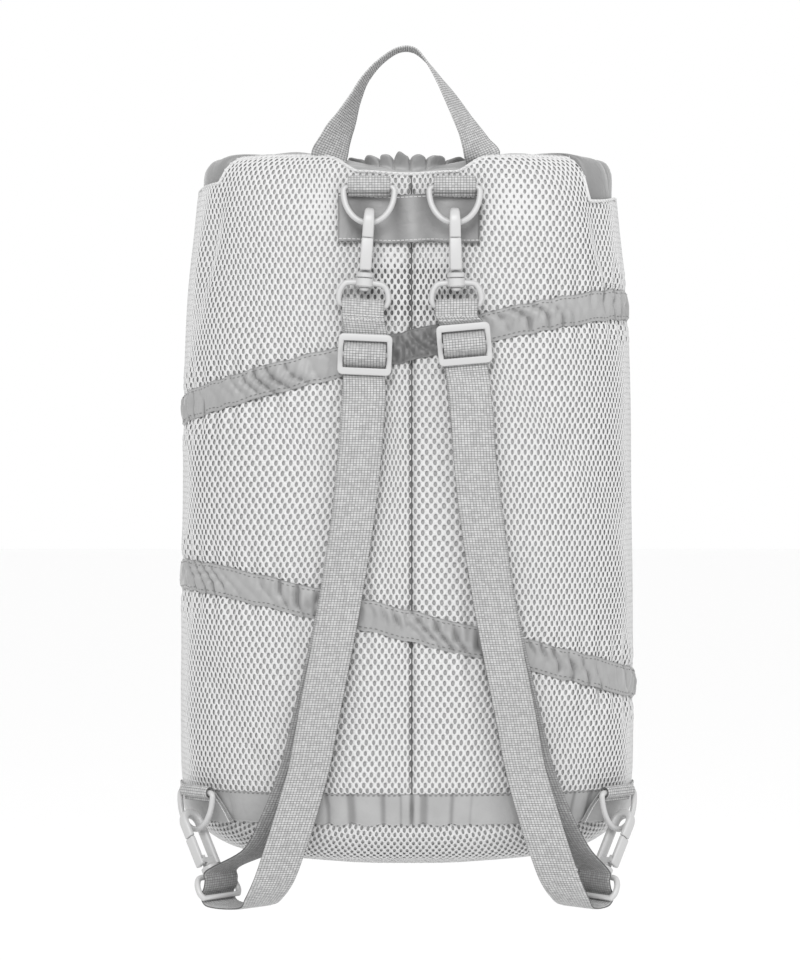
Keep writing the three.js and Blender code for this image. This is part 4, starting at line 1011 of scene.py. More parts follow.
def collar_wall(arc, under):
    rim, wave = rim_row(arc), ridge_wave(arc)
    front = bell(signed_arc(arc) / FRONT_SAG_ARC)
    crumple = 0.8 * np.sin(arc / 7.1 + wander(arc, 2.2)) + 0.5 * np.sin(arc / 4.3 + 1.0)
    inside = MESH_WALL + TUCK_GAP + (HAUL_GAP - TUCK_GAP) * near_haul(arc)
    tucks = (rim - COLLAR_TUCK, rim)
    stops = [body_offset(arc, row, -inside - under, body_point) for row in tucks]
    for f in COLLAR_STOPS:
        tucked = inside * near_haul(arc) * (1 - f)
        sag = FRONT_SAG * front * math.sin(math.pi * f)
        out = (PLEAT_WAVE * wave + crumple * (1 - f)) * math.sqrt(f) - tucked - under - sag
        stops.append(body_offset(arc, rim + (NECK - rim) * f, out))
    neck_high = BODY_ROWS[NECK][0]
    centre = smooth_body(arc, np.full_like(arc, NECK))
    out = unit((centre - (0, MOUTH_Y, 0)) * (1, 1, 0))
    foot = centre - out * under
    foot[:, 2] = neck_high + PLEAT_WAVE * wave - under - FOOT_SAG * front
    lip = centre + out * (RUFFLE_WAVE * wave - under + 0.4 * crumple)[:, None]
    lip[:, 2] = neck_high + RUFFLE_RISE + RUFFLE_LIFT * wave + 0.3 * crumple
    curl = lip - out * (LIP_CURL - 2 * under) - (0, 0, LIP_DROP)
    return through_stops([*stops, foot, lip, curl], COLLAR_STEPS)


arcs = arcs_round(COLLAR_ARCS)
points, faces = thick_grid(collar_wall(arcs, 0.0), collar_wall(arcs, NYLON_THICK), looped=True)
# Painted shade on the collar's upturned corners and in the valleys between the ruffle's ridges.
corners = CORNER_PAINTED_SHADE * within(np.abs(signed_arc(arcs)), *CORNER_ARCS, CORNER_FADE)
valleys = RIDGE_PAINTED_SHADE * smoothstep(-ridge_wave(arcs), 0.4, 1.0)
painted_shade = np.tile(np.maximum(corners, valleys), 2 * COLLAR_STEPS)
mouth = "gathered_mouth"
collar = cloth_piece(mouth, points, faces[:, ::-1], NYLON, "mouth_collar", painted_shade=painted_shade)

# %% [markdown]
# ## Rolled top edge
# The mesh's top edge is turned in and overlocked, so it ends in a soft roll. A tube along the
# edge gives the roll, and slanting stitches wrap it.

# %% Roll and overlock stitches
ROLL, ROLL_IN, ROLL_STEPS, ROLL_SIDES, ZIGZAG = 1.25, MESH_WALL / 2 + 0.3, 400, 10, 0.9
arcs = arcs_round(ROLL_STEPS)
line = body_offset(arcs, rim_row(arcs), -ROLL_IN)
run, out = unit(run_round(line)), normal_at(smooth_body, arcs, rim_row(arcs))
up = unit(np.cross(run, out))
turns = 2 * np.pi * np.arange(ROLL_SIDES) / ROLL_SIDES
points = np.stack([line + ROLL * (out * np.cos(a) + up * np.sin(a)) for a in turns], 1)
faces = grid_faces(ROLL_STEPS + 1, ROLL_SIDES, looped=True) % (ROLL_STEPS * ROLL_SIDES)
roll = cloth_piece("rolled_edge", points.reshape(-1, 3), faces, NET)
slant = np.where(np.arange(ROLL_STEPS) % 2, ZIGZAG, -ZIGZAG)[:, None] * up
overlock = [(line + out * ROLL, run + slant, out)]
roll_threads = stitch_piece("overlock_stitches", overlock, long=2.4, radius=0.28)

# %% [markdown]
# ## Patch and corner tabs
# A nylon patch backs the upper rings, and nylon ears carry the lower ones. Both are flat cloth
# on a round sack, so they follow it, with the slight waves that two stitch rows leave between
# them.

# %% Patch under the upper rings
PATCH_X, PATCH_WIDE, PATCH_LOW, PATCH_HIGH, PATCH_GAP = 1, 95, 421.5, 454, 1.2
PATCH_COLUMNS, PATCH_ROWS, PATCH_SEWN = 65, 21, slice(1, -1, 2)
patch_x = PATCH_X + np.linspace(-0.5, 0.5, PATCH_COLUMNS) * PATCH_WIDE
xs, fs = np.meshgrid(patch_x, np.linspace(0, 1, PATCH_ROWS))
zs = PATCH_LOW + (PATCH_HIGH - PATCH_LOW) * fs + 0.5 * np.sin(xs / 9)
bands = np.sin(xs / 4.4 + 1.6 * np.sin(xs / 15) + 0.8 * fs)
waves = 0.75 * bands * np.sin(np.pi * fs) + 0.3 * np.sin(xs / 11 + 6 * fs)
outer = offset_at(xs, zs, PATCH_GAP + NYLON_THICK + waves)
inner = offset_at(xs, zs, PATCH_GAP + 0.2 * waves)
# Painted shade over the patch, which lies in the rings' shade, lighter on the crests of its upright
# waves as painted highlights.
painted_shade = np.tile((0.55 - 0.3 * bands).ravel(), 2)
patch = cloth_piece("ring_patch", *thick_grid(outer, inner), NYLON, "top_patch", painted_shade=painted_shade)
sewn = []
for k in (1, PATCH_ROWS - 2):
    line, below = outer[k, PATCH_SEWN], inner[k, PATCH_SEWN]
    sewn.append((line, np.gradient(line, axis=0), line - below))
threads = stitch_piece("patch_stitches", sewn, long=2.2, radius=0.28)

# %% Corner tabs
TAB_HIGH, TAB_LOW_ARC, TAB_HIGH_ARC, TAB_END_ARC = 52.5, 124, 136, 212
TAB_LIFT = HEM_CROWN + 0.5 + 3 * GAP
TAB_ALONG, TAB_ACROSS = 33, 13
# Towards its far end the ear settles round the hem: where, and the shares of the lift that it
# loses at its low and its high edge.
TAB_SETTLES, TAB_SETTLE = (0.2, 0.7), (0.4, 0.65)
SIGNS = {"left": -1, "right": 1}


def tab_wall(sign, lift):
    f = np.linspace(0, 1, TAB_ALONG)
    low_arc = sign * (TAB_LOW_ARC + (TAB_END_ARC - TAB_LOW_ARC) * f)
    high_arc = sign * (TAB_HIGH_ARC + (TAB_END_ARC - TAB_HIGH_ARC) * f)
    high_row = row_at_height(high_arc, lambda p: TAB_HIGH)
    ones = np.ones_like(f)
    low_lift, high_lift = (lift * (1 - far * smoothstep(f, *TAB_SETTLES)) for far in TAB_SETTLE)
    low = base_point(low_arc, ones) - normal_at(base_point, low_arc, ones) * low_lift[:, None]
    middle = body_offset((low_arc + high_arc) / 2, 0 * ones, lift)
    return through_stops([low, middle, body_offset(high_arc, high_row, high_lift)], TAB_ACROSS)


for side, sign in SIGNS.items():
    outer, inner = tab_wall(sign, TAB_LIFT + NYLON_THICK), tab_wall(sign, TAB_LIFT)
    points, faces = thick_grid(outer, inner)
    tab = cloth_piece(f"corner_ear_{side}", points, faces[:, ::sign], NYLON, f"corner_tab_{side}")
    line, below = outer[1:-1, 1], inner[1:-1, 1]
    row = (line, np.gradient(line, axis=0), line - below)
    threads = stitch_piece(f"corner_ear_stitches_{side}", [row])

# %% [markdown]
# ## Webbing along a route
# A strap is a flat ribbon that is bent, folded and twisted but never stretched sideways. It is
# drawn as a route of stops, each with the direction of the strap's width, and a smooth curve is
# passed through them. The cross-section is a thin oval with soft edges, and the UV map keeps
# count of the metres across and along for the weave.


# %% A smooth run through stops, eased by their spacing
def smooth_run(stops, samples):
    stops = np.asarray(stops, float)
    padded = np.concatenate([2 * stops[:1] - stops[1:2], stops, 2 * stops[-1:] - stops[-2:-1]])
    f = np.linspace(0, 1, samples, endpoint=False)[:, None]
    pieces = []
    for k in range(len(stops) - 1):
        a, b, c, d = padded[k : k + 4]
        gaps = [max(np.linalg.norm(q - p) ** 0.5, 1e-3) for p, q in ((a, b), (b, c), (c, d))]
        leave = (b - a) / gaps[0] - (c - a) / (gaps[0] + gaps[1]) + (c - b) / gaps[1]
        arrive = (c - b) / gaps[1] - (d - b) / (gaps[1] + gaps[2]) + (d - c) / gaps[2]
        leave, arrive = leave * gaps[1], arrive * gaps[1]
        bend = 2 * b - 2 * c + leave + arrive
        pieces.append(((bend * f - 3 * b + 3 * c - 2 * leave - arrive) * f + leave) * f + b)
    return np.concatenate(pieces + [stops[-1:]])


# %% A ribbon of webbing
WEBBING_WIDE, WEBBING_THICK, HAUL_WIDE = 28, 1.6, 25
ACROSS_STEPS, SELVEDGE = 11, 0.7


def webbing_piece(name, route, across, wide, node, painted_shade=0.0):
    across = unit(across)
    face = unit(np.cross(across, np.gradient(route, axis=0)))
    w = np.linspace(-1, 1, ACROSS_STEPS)
    half = WEBBING_THICK / 2 * np.sqrt(1 - SELVEDGE * np.abs(w) ** 8)
    flat = route[:, None] + across[:, None] * (w * wide / 2)[:, None]
    thick = face[:, None] * half[:, None]
    ring = np.concatenate([flat + thick, (flat - thick)[:, ::-1]], 1)
    count, size = ring.shape[:2]
    k = np.arange(ACROSS_STEPS - 1)
    start = np.stack([k, k + 1, size - 2 - k, size - 1 - k], 1)
    end = start[:, ::-1] + (count - 1) * size
    faces = np.concatenate([grid_faces(count, size, looped=True)[:, ::-1], start, end])
    run = run_lengths(route)
    u = np.concatenate([w, w[::-1]]) * wide / 2
    uv = np.stack(np.broadcast_arrays(u, run[:, None]), -1).reshape(-1, 2) * MM
    shade = np.repeat(np.broadcast_to(painted_shade, count), size)
    made = cloth_piece(name, ring.reshape(-1, 3), faces, WEBBING, node, uv, shade)


# %% [markdown]
# ### Haul loop
# The handle's two ends are sewn inside the mouth. On its way over, the webbing twists until it
# stands edge on, and the weight of the sack pulls it to a narrow arch.

# %% Route of the haul loop: x, y, z and the twist from facing front, in degrees
HAUL_ROUTE = np.array(
    [
        (-52.9, -71, 478, 0), (-49, -74, 490, 36), (-45.1, -76, 498.5, 48),
        (-41.5, -76, 505, 58), (-35.4, -76, 518.5, 74), (-27.9, -76, 533, 83),
        (-16.5, -76, 545.5, 88), (-4.5, -76, 552.5, 90), (4.5, -76, 552, 90),
        (12, -76, 545.5, 86), (22.5, -76, 530.7, 76), (29, -76, 520.5, 68),
        (37.8, -76, 505, 58), (41.6, -76, 498.5, 52), (46.5, -74, 489, 38),
        (51.5, -70, 478, 4),
    ]
)  # fmt: skip
HAUL_APEX, HAUL_TUCK, HAUL_SAMPLES = 7, (0.8, 0.4, 0.0), 12


def haul_end(arc, below):
    edges = arc + np.array([-0.5, 0.5]) * HAUL_WIDE
    left, right = body_offset(edges, rim_row(edges) - below, -MESH_WALL - HAUL_GAP / 2)
    return (left + right) / 2, unit(right - left)


haul_stops = [haul_end(-HAUL_ARC, below) for below in HAUL_TUCK]
for k, (x, y, z, turn) in enumerate(HAUL_ROUTE):
    before, after = HAUL_ROUTE[max(k - 1, 0)], HAUL_ROUTE[min(k + 1, len(HAUL_ROUTE) - 1)]
    run = unit((after - before)[:3] * (1, 0, 1))
    flat = np.array([run[2], 0, -run[0]]) * (1 if k < HAUL_APEX else -1)
    turn = math.radians(turn)
    across = flat * math.cos(turn) + np.array([0, math.sin(turn), 0])
    haul_stops.append((np.array([x, y, z]), across))
haul_stops += [haul_end(HAUL_ARC, below) for below in reversed(HAUL_TUCK)]
route, across = (smooth_run(line, HAUL_SAMPLES) for line in zip(*haul_stops))
webbing_piece("haul_handle", route, across, HAUL_WIDE, "haul_loop")

# %% [markdown]
# ## Clips
# Each clip is a D ring in a loop of webbing, a snap hook that hangs in the ring, its sprung gate,
# and a bail on a swivel that takes the strap. All four clips are alike, so each piece is modelled
# once round its own origin and copied to four places. The places come from the same rules as the
# solids: the ring's bar, how far the ring leans, and how the hook sways in it.

# %% Where the clips sit
WIRE, RING_HALF, RING_DROP, RING_CORNER = 2.0, 15, 25.5, 3
LOOP_STANDOFF = WIRE + GAP + WEBBING_THICK + 3 * GAP
HOOK_TOP, HOOK_REACH, HOOK_WIDE, HOOK_DEEP, HOOK_CROWN = 46.7, 6, 7.6, 5, 7.4
NOSE_TIP, BLOCK_FOOT, BLOCK_TOP, GATE_PIVOT, BAIL_BAR = 26.5, 2, 10, 7.5, -18.5
HOOK_SEAT = HOOK_TOP - HOOK_CROWN - WIRE - 2 * GAP
HOOK_SPREAD, UPPER_BAR_Z, UPPER_TAIL, UPPER_HOOK_CLEAR = 28.7, 458, 9, 3
UPPER_SWAY = {"left": 4, "right": -1.2}
LOWER_RING_X, LOWER_RING_Z, LOWER_LEAN = 136, 50.5, 4
LOWER_SLACK, LOWER_SWAY, LOWER_BAIL_TURN = 4.5, 33, 88
# How far each loop stands over its bar, and how long its tail shows.
LOOPS = {"upper": (4, 5.8), "lower": (0.4, 6)}


def strap_bed(x, z):
    return min(offset_at(x + f * WEBBING_WIDE, z, 0.0)[..., 1].item() for f in (-0.5, 0, 0.5))


def clip_frames(at, yaw, lean, sway, slack, bail_turn):
    """Places of a clip's loop, ring, hook, gate and bail."""
    group = Matrix.Translation(at) @ Matrix.Rotation(yaw, 4, "Z")
    drop = Vector((0, -RING_DROP * math.sin(lean), -RING_DROP * math.cos(lean)))
    swayed = Matrix.Translation(drop) @ Matrix.Rotation(sway, 4, "Y")
    hook = group @ swayed @ Matrix.Translation((0, 0, slack - HOOK_SEAT))
    return {
        "loop": group,
        "ring": group @ Matrix.Rotation(-lean, 4, "X"),
        "hook": hook,
        "gate": hook @ Matrix.Translation((0, -HOOK_REACH, GATE_PIVOT)),
        "bail": hook @ Matrix.Rotation(bail_turn, 4, "Z"),
    }


def upper_frames(side):
    x = SEAM_X + SIGNS[side] * HOOK_SPREAD
    tail_z, hook_z = UPPER_BAR_Z - UPPER_TAIL, UPPER_BAR_Z - RING_DROP - HOOK_SEAT
    over_patch = PATCH_GAP + NYLON_THICK
    bar_y = strap_bed(x, tail_z) - over_patch - LOOP_STANDOFF
    wall = offset_at(x, (tail_z + hook_z) / 2, over_patch)[..., 1].item()
    hook_y = wall - HOOK_REACH - HOOK_DEEP / 2 - UPPER_HOOK_CLEAR
    lean = math.asin((bar_y - hook_y) / RING_DROP)
    return clip_frames((x, bar_y, UPPER_BAR_Z), 0, lean, math.radians(UPPER_SWAY[side]), 0, 0)


def lower_frames(side):
    sign = SIGNS[side]
    arc, t = locate(sign * LOWER_RING_X, LOWER_RING_Z)
    out = unit(normal_at(smooth_body, arc, t) * (1, 1, 0))
    at = smooth_body(arc, t) + out * (TAB_LIFT + NYLON_THICK + LOOP_STANDOFF)
    turns = (LOWER_LEAN, sign * LOWER_SWAY, -sign * LOWER_BAIL_TURN)
    lean, sway, bail_turn = (math.radians(turn) for turn in turns)
    return clip_frames(at, math.atan2(out[0], -out[1]), lean, sway, LOWER_SLACK, bail_turn)


CLIPS = {("upper", side): upper_frames(side) for side in SIGNS}
CLIPS |= {("lower", side): lower_frames(side) for side in SIGNS}
for key, places in CLIPS.items():
    print("clip", *key, [round(v) for v in places["hook"].translation])


# %% Loops of webbing round the rings' bars
def loop_route(slot, tail):
    hold = WIRE + GAP + WEBBING_THICK / 2
    back = LOOP_STANDOFF - GAP - WEBBING_THICK / 2
    over, round_bar = np.linspace(0, np.pi, 9), np.linspace(np.pi, 1.6 * np.pi, 6)
    yz = [(back, -tail), (back, -tail / 2), (hold, 0)]
    yz += [(hold * math.cos(a), slot + hold * math.sin(a)) for a in over]
    yz += [(hold * math.cos(a), hold * math.sin(a)) for a in round_bar]
    yz += [(back - WEBBING_THICK, -tail)]
    return np.array([(0, y, z) for y, z in yz])


LOOP_SAMPLES = 5
for (level, side), places in CLIPS.items():
    route = smooth_run(loop_route(*LOOPS[level]), LOOP_SAMPLES)
    turn = np.array(places["loop"].to_3x3())
    webbing_piece(
        f"{level}_ring_webbing_{side}",
        route @ turn.T + np.array(places["loop"].translation),
        np.broadcast_to(turn[:, 0], route.shape),
        WEBBING_WIDE,
        f"{level}_ring_loop_{side}",
    )

# %% [markdown]
# ### Straps
# Each strap starts as a folded, sewn end round the upper bail, goes down through the slider, runs
# down the sack to the lower bail, turns round it and comes up again behind itself to the slider's
# middle bar. The free stretches below hang in the air and twist from facing front to the bail's
# slant.

# %% Stops of the straps
# Each slider's x, z and tilt in degrees.
SLIDERS = {"left": (-28.3, 345.5, -2.5), "right": (37.9, 352.5, 5)}
SLIDER_WIDE, SLIDER_TALL, SLIDER_SIDE, SLIDER_END = 36, 27.4, 3.5, 4.8
SLIDER_MIDDLE, SLIDER_THICK, SLIDER_CORNER = 3, 2.4, 3.5
STRAP_X = 6.5
# On the sack: x from the middle and z. In the air: x, y, z and how far it has twisted. Round the
# lower bail: out from its bar and up.
STRAP_FRONT = [(35, 322), (40, 257), (50.5, 184), (66, 102), (72, 70)]
STRAP_FRONT_FREE = [
    (81, -102, 38, 0), (88, -103, 16, 0.1), (95.5, -101, -5, 0.3), (102, -95.5, -17, 0.6),
    (108, -86, -24, 0.9),
]  # fmt: skip
STRAP_TURN = [(-1, -5.5), (-3.6, 0), (-2.4, 3.4), (2.4, 5.6), (6.8, 9.5), (9, 14)]
STRAP_BACK_FREE = [(103.5, -87, 15, 0.6), (91, -93, 36, 0.2)]
STRAP_BACK = [(78, 70), (70, 102), (51.5, 184), (41, 257)]
LIFT_BACK, LIFT_FRONT, FOLD_LENGTH = 4.4, 8.2, 7
QUARTERS = np.linspace(0, math.pi, 5)
LEVEL = np.array([1.0, 0, 0])


def strap_stops(side):
    """Stops of a strap as places with the direction of its width, and the slider's place."""
    stops, sign = [], SIGNS[side]
    half, half_tall = WEBBING_THICK / 2, SLIDER_TALL / 2
    wrap, behind = WIRE + 3 * GAP + half, WEBBING_THICK + 2 * GAP
    frame_out = SLIDER_THICK / 2 + 2 * GAP + half
    dive = half_tall - SLIDER_END - 2 * GAP
    loop = math.hypot(SLIDER_THICK, SLIDER_MIDDLE) / 2 + 2 * GAP + half
    over = -loop - WEBBING_THICK - GAP
    slider_x, slider_z, tilt = SLIDERS[side]
    slider_y = strap_bed(slider_x, slider_z) - LIFT_BACK - behind - frame_out
    slant = np.array([math.cos(math.radians(tilt)), 0, math.sin(math.radians(tilt))])
    upper, lower = CLIPS["upper", side]["bail"], CLIPS["lower", side]["bail"]
    bar, low_bar = (np.array(bail @ Vector((0, 0, BAIL_BAR))) for bail in (upper, lower))
    bar_across = np.array(upper.to_3x3())[:, 0]
    low_across, _, low_up = np.array(lower.to_3x3()).T
    forward = -np.cross(low_up, low_across)

    def stop(x, y, z, across):
        stops.append((np.array([x, y, z]), across))

    def in_slider(y, z):
        stop(slider_x - slant[2] * z, slider_y + y, slider_z + slant[0] * z, slant)

    def on_body(x, z, lift):
        x = STRAP_X + sign * x
        out = offset_at(x, z, 1.0) - offset_at(x, z, 0.0)
        stop(x, strap_bed(x, z) - lift, z, unit(np.array([-out[1], out[0], 0])))

    def free(x, y, z, turn):
        stop(STRAP_X + sign * x, y, z, LEVEL * (1 - turn) + low_across * turn)

    fold_y, fold_z = bar[1] - wrap, bar[2] - FOLD_LENGTH
    tail_y = max(fold_y, slider_y + frame_out) + behind
    stop((bar[0] + slider_x) / 2, tail_y, slider_z + half_tall + GAP, slant)
    stop(bar[0], fold_y + behind + GAP, fold_z, bar_across)
    for turn in QUARTERS:
        stop(*(bar + np.array([0, math.cos(turn), math.sin(turn)]) * wrap), bar_across)
    stop(bar[0], fold_y - GAP, fold_z, bar_across)
    for y, z in ((frame_out, half_tall), (frame_out, dive), (over, SLIDER_MIDDLE)):
        in_slider(y, z)
    for y, z in ((over, -SLIDER_MIDDLE), (frame_out, -dive), (frame_out, -half_tall)):
        in_slider(y, z)
    for x, z in STRAP_FRONT:
        on_body(x, z, LIFT_FRONT)
    for place in STRAP_FRONT_FREE:
        free(*place)
    for out, up in STRAP_TURN:
        stop(*(low_bar + forward * out + low_up * up), low_across)
    for place in STRAP_BACK_FREE:
        free(*place)
    for x, z in STRAP_BACK:
        on_body(x, z, LIFT_BACK)
    in_slider(frame_out + behind + GAP, -half_tall)
    in_slider(frame_out + behind, -dive)
    for turn in QUARTERS:
        in_slider(loop * math.cos(turn), loop * math.sin(turn))
    slider = Matrix.Translation((slider_x, slider_y, slider_z))
    return stops, slider @ Matrix.Rotation(-math.radians(tilt), 4, "Y")


# %% Two straps, with the stitches that hold their folded ends
SLIDER_FRAMES = {}
STRAP_SAMPLES = 10
FOLD_STOP, FOLD_SEWN, FOLD_STITCHES = 7, (371, 368.5), 10
# Painted shade on each strap's back layer, from the turn round the lower bail up to the sack.
BACK_SHADE, BACK_STOPS, BACK_FADE = 0.8, (27, 33), 1.5
for side in SIGNS:
    stops, SLIDER_FRAMES[side] = strap_stops(side)
    route, across = (smooth_run(line, STRAP_SAMPLES) for line in zip(*stops))
    spread = np.linspace(-0.45, 0.45, FOLD_STITCHES)[:, None] * WEBBING_WIDE
    ones = np.ones_like(spread)
    fold = np.arange(STRAP_SAMPLES) + FOLD_STOP * STRAP_SAMPLES
    sewn = []
    for height in FOLD_SEWN:
        at = fold[np.argmin(np.abs(route[fold, 2] - height))]
        row = route[at] + spread * across[at] - (0, WEBBING_THICK / 2 + 0.1, 0)
        sewn.append((row, ones * across[at], ones * (0, -1, 0)))
    stitch_piece(f"strap_stitches_{side}", sewn, long=2.0, radius=0.3)
    webbing_piece(
        f"shoulder_strap_{side}",
        route,
        across,
        WEBBING_WIDE,
        f"strap_{side}",
        BACK_SHADE * within(np.arange(len(route)) / STRAP_SAMPLES, *BACK_STOPS, BACK_FADE),
    )

# %% [markdown]
# ## Hardware
# The metal pieces are modelled in millimetres round their own origins. The helpers clear the
# selection, pick the vertices or faces that pass a test, and finish a piece by merging what
# meets and turning its faces outwards.

# %% Helpers for selecting and finishing
SMOOTH_BELOW = math.radians(38)


def clear_selection():
    if bpy.context.object and bpy.context.object.mode != "OBJECT":
        bpy.ops.object.mode_set(mode="OBJECT")
    bpy.ops.object.select_all(action="DESELECT")


def select_only(*pieces):
    clear_selection()
    for piece in pieces:
        piece.select_set(True)
    bpy.context.view_layer.objects.active = pieces[0]


def edit_where(piece, test, kind="VERT"):
    """Edit mode, with the vertices or faces selected whose place passes the test."""
    select_only(piece)
    bpy.ops.object.mode_set(mode="EDIT")
    bpy.ops.mesh.select_mode(type=kind)
    bpy.ops.mesh.select_all(action="DESELECT")
    bpy.ops.object.mode_set(mode="OBJECT")
    for part in piece.data.vertices if kind == "VERT" else piece.data.polygons:
        part.select = bool(test(part.co if kind == "VERT" else part.center))
    bpy.ops.object.mode_set(mode="EDIT")


def close_up(piece):
    edit_where(piece, lambda co: True)
    bpy.ops.mesh.remove_doubles(threshold=0.001)
    bpy.ops.mesh.normals_make_consistent(inside=False)
    bpy.ops.object.mode_set(mode="OBJECT")


def apply_transform():
    bpy.ops.object.transform_apply(location=True, rotation=True, scale=True)


def apply_bevel(piece, width, angle=40):
    select_only(piece)
    bevel = piece.modifiers.new("soft_edges", "BEVEL")
    bevel.width, bevel.segments = width, 3
    bevel.limit_method, bevel.angle_limit = "ANGLE", math.radians(angle)
    bpy.ops.object.modifier_apply(modifier=bevel.name)


def join_pieces(name, *pieces):
    select_only(*pieces)
    bpy.ops.object.join()
    joined = bpy.context.object
    joined.name = name
    apply_transform()
    bpy.ops.object.shade_smooth_by_angle(angle=SMOOTH_BELOW)
    return joined


# %% Helpers for the kinds of piece
def soft_cube(low, high, edge):
    clear_selection()
    middle = [(a + b) / 2 for a, b in zip(low, high)]
    bpy.ops.mesh.primitive_cube_add(size=1, location=middle)
    cube = bpy.context.object
    cube.scale = [b - a for a, b in zip(low, high)]
    apply_transform()
    apply_bevel(cube, edge)
    return cube


def turned_piece(name, profile, steps=28):
    """A profile of radius and height, spun round the upright axis."""
    clear_selection()
    mesh = bpy.data.meshes.new(name)
    edges = [(k, k + 1) for k in range(len(profile) - 1)]
    mesh.from_pydata([(r, 0, z) for r, z in profile], edges, [])
    piece = new_object(name, mesh)
    edit_where(piece, lambda co: True)
    bpy.ops.mesh.spin(steps=steps, angle=2 * math.pi, center=(0, 0, 0), axis=(0, 0, 1))
    bpy.ops.object.mode_set(mode="OBJECT")
    close_up(piece)
    return piece


def wire_piece(name, path):
    """Round wire along a closed path of x and z."""
    clear_selection()
    curve = bpy.data.curves.new(name, "CURVE")
    curve.dimensions = "3D"
    curve.bevel_depth, curve.bevel_resolution = WIRE, 4
    spline = curve.splines.new("POLY")
    spline.points.add(len(path) - 1)
    for point, (x, z) in zip(spline.points, path):
        point.co = (x, 0, z, 1)
    spline.use_cyclic_u = True
    select_only(new_object(name, curve))
    bpy.ops.object.convert(target="MESH")
    return bpy.context.object


def copy_to(model, name, place, body, node):
    mesh = model.data.copy()
    mesh.name = name
    mesh.transform(SACK_TO_FRAME @ place)
    finish_piece(new_object(name, mesh), POWDER_COAT, body, node)


def copy_to_clips(model, piece, node, place, moves=False):
    """One copy at each clip, on the sack or on the body that moves there; the model goes."""
    for (level, side), places in CLIPS.items():
        body = f"{level}_{side}_{node}" if moves else "sack"
        copy_to(model, f"{level}_{piece}_{side}", places[place], body, f"{level}_{node}_{side}")
    bpy.data.objects.remove(model)


# %% [markdown]
# ### D ring
# Steel wire is bent to a straight bar with a deep bow under it, and welded. A curve with a round
# section follows the bend, and becomes a mesh.

# %% D rings
ring_half = RING_HALF + WIRE
bow = [
    (ring_half * math.cos(a), -RING_CORNER - (RING_DROP - RING_CORNER) * math.sin(a))
    for a in np.linspace(0, math.pi, 41)
]
corner = [
    (RING_CORNER * (1 - math.cos(a)) - ring_half, RING_CORNER * (math.sin(a) - 1))
    for a in np.linspace(0, math.pi / 2, 7)[1:]
]
ring_model = wire_piece("d_ring", bow + corner + [(-x, z) for x, z in reversed(corner)])
select_only(ring_model)
bpy.ops.object.shade_smooth()
copy_to_clips(ring_model, "wire_ring", "dring", "ring")

# %% [markdown]
# ### Snap hook
# The hook is a casting: a flat bar with round edges that rises from a block, turns over and comes
# down as a blunt nose, on a collar with a swivel stem below. The bar is a circle, squared on its
# outer side only, that is extruded up, spun half a turn and extruded down. Its crown is thicker
# on the outside and a little narrower, so that the ring stays clear when the hook turns. The
# collar and stem are spun from a profile, and the block is a cube, narrow enough for the gate to
# close round it.

# %% Hook bar
COLLAR_RADIUS, COLLAR_HIGH, COLLAR_CHAMFER = 6, 4.5, 1.5
BAR_SQUARED, BAR_INNER_DEEP, CROWN_WAIST = 0.55, HOOK_DEEP - 0.7, 0.14
crown_z = HOOK_TOP - HOOK_CROWN / 2 - HOOK_REACH
clear_selection()
bpy.ops.mesh.primitive_circle_add(vertices=32, radius=1, location=(0, HOOK_REACH, COLLAR_HIGH))
bar = bpy.context.object
for vertex in bar.data.vertices:
    squared, deep = (BAR_SQUARED, HOOK_DEEP) if vertex.co.y > 0 else (1, BAR_INNER_DEEP)
    vertex.co.x = signed_power(vertex.co.x, squared) * HOOK_WIDE / 2
    vertex.co.y = signed_power(vertex.co.y, squared) * deep / 2
apply_transform()
edit_where(bar, lambda co: True)
rise, fall = (0, 0, crown_z - COLLAR_HIGH), (0, 0, NOSE_TIP - crown_z)
bpy.ops.mesh.extrude_region_move(TRANSFORM_OT_translate={"value": rise})
bpy.ops.mesh.spin(steps=16, angle=-math.pi, center=(0, 0, crown_z), axis=(1, 0, 0))
bpy.ops.mesh.extrude_region_move(TRANSFORM_OT_translate={"value": fall})
bpy.ops.mesh.edge_face_add()
bpy.ops.object.mode_set(mode="OBJECT")
close_up(bar)
for vertex in bar.data.vertices:
    across = math.hypot(vertex.co.y, vertex.co.z - crown_z)
    level = max(0.0, vertex.co.z - crown_z) / max(across, 0.1)
    vertex.co.x *= 1 - CROWN_WAIST * level
    if level > 0 and across > HOOK_REACH:
        swell = 1 + (HOOK_CROWN / HOOK_DEEP - 1) * level * level
        scale = (HOOK_REACH + (across - HOOK_REACH) * swell) / across
        vertex.co.y *= scale
        vertex.co.z = crown_z + (vertex.co.z - crown_z) * scale
apply_bevel(bar, 1.0, angle=50)
print("hook bar top:", round(max(v.co.z for v in bar.data.vertices), 2), "mm")

# %% Collar, stem and rivet head, the block behind the gate, and four hooks
STEM_RADIUS, STEM_DROP, HEAD_RADIUS, HEAD_HIGH = 2, 6.8, 3.2, 2.2
HEAD_CHAMFER, COLLAR_EDGE = 0.8, 0.5
BLOCK_WIDE, BLOCK_FRONT, BLOCK_EDGE = 5.4, HOOK_REACH - 2.6, 1.0
head_foot = -STEM_DROP - HEAD_HIGH
swivel_profile = [(0, head_foot), (HEAD_RADIUS - HEAD_CHAMFER, head_foot)]
swivel_profile += [(HEAD_RADIUS, head_foot + HEAD_CHAMFER), (HEAD_RADIUS, -STEM_DROP)]
swivel_profile += [(STEM_RADIUS, -STEM_DROP), (STEM_RADIUS, 0), (COLLAR_RADIUS - COLLAR_EDGE, 0)]
swivel_profile += [(COLLAR_RADIUS, COLLAR_EDGE), (COLLAR_RADIUS, COLLAR_HIGH - COLLAR_CHAMFER)]
swivel_profile += [(HOOK_WIDE / 2, COLLAR_HIGH), (0, COLLAR_HIGH)]
swivel = turned_piece("hook_swivel", swivel_profile)
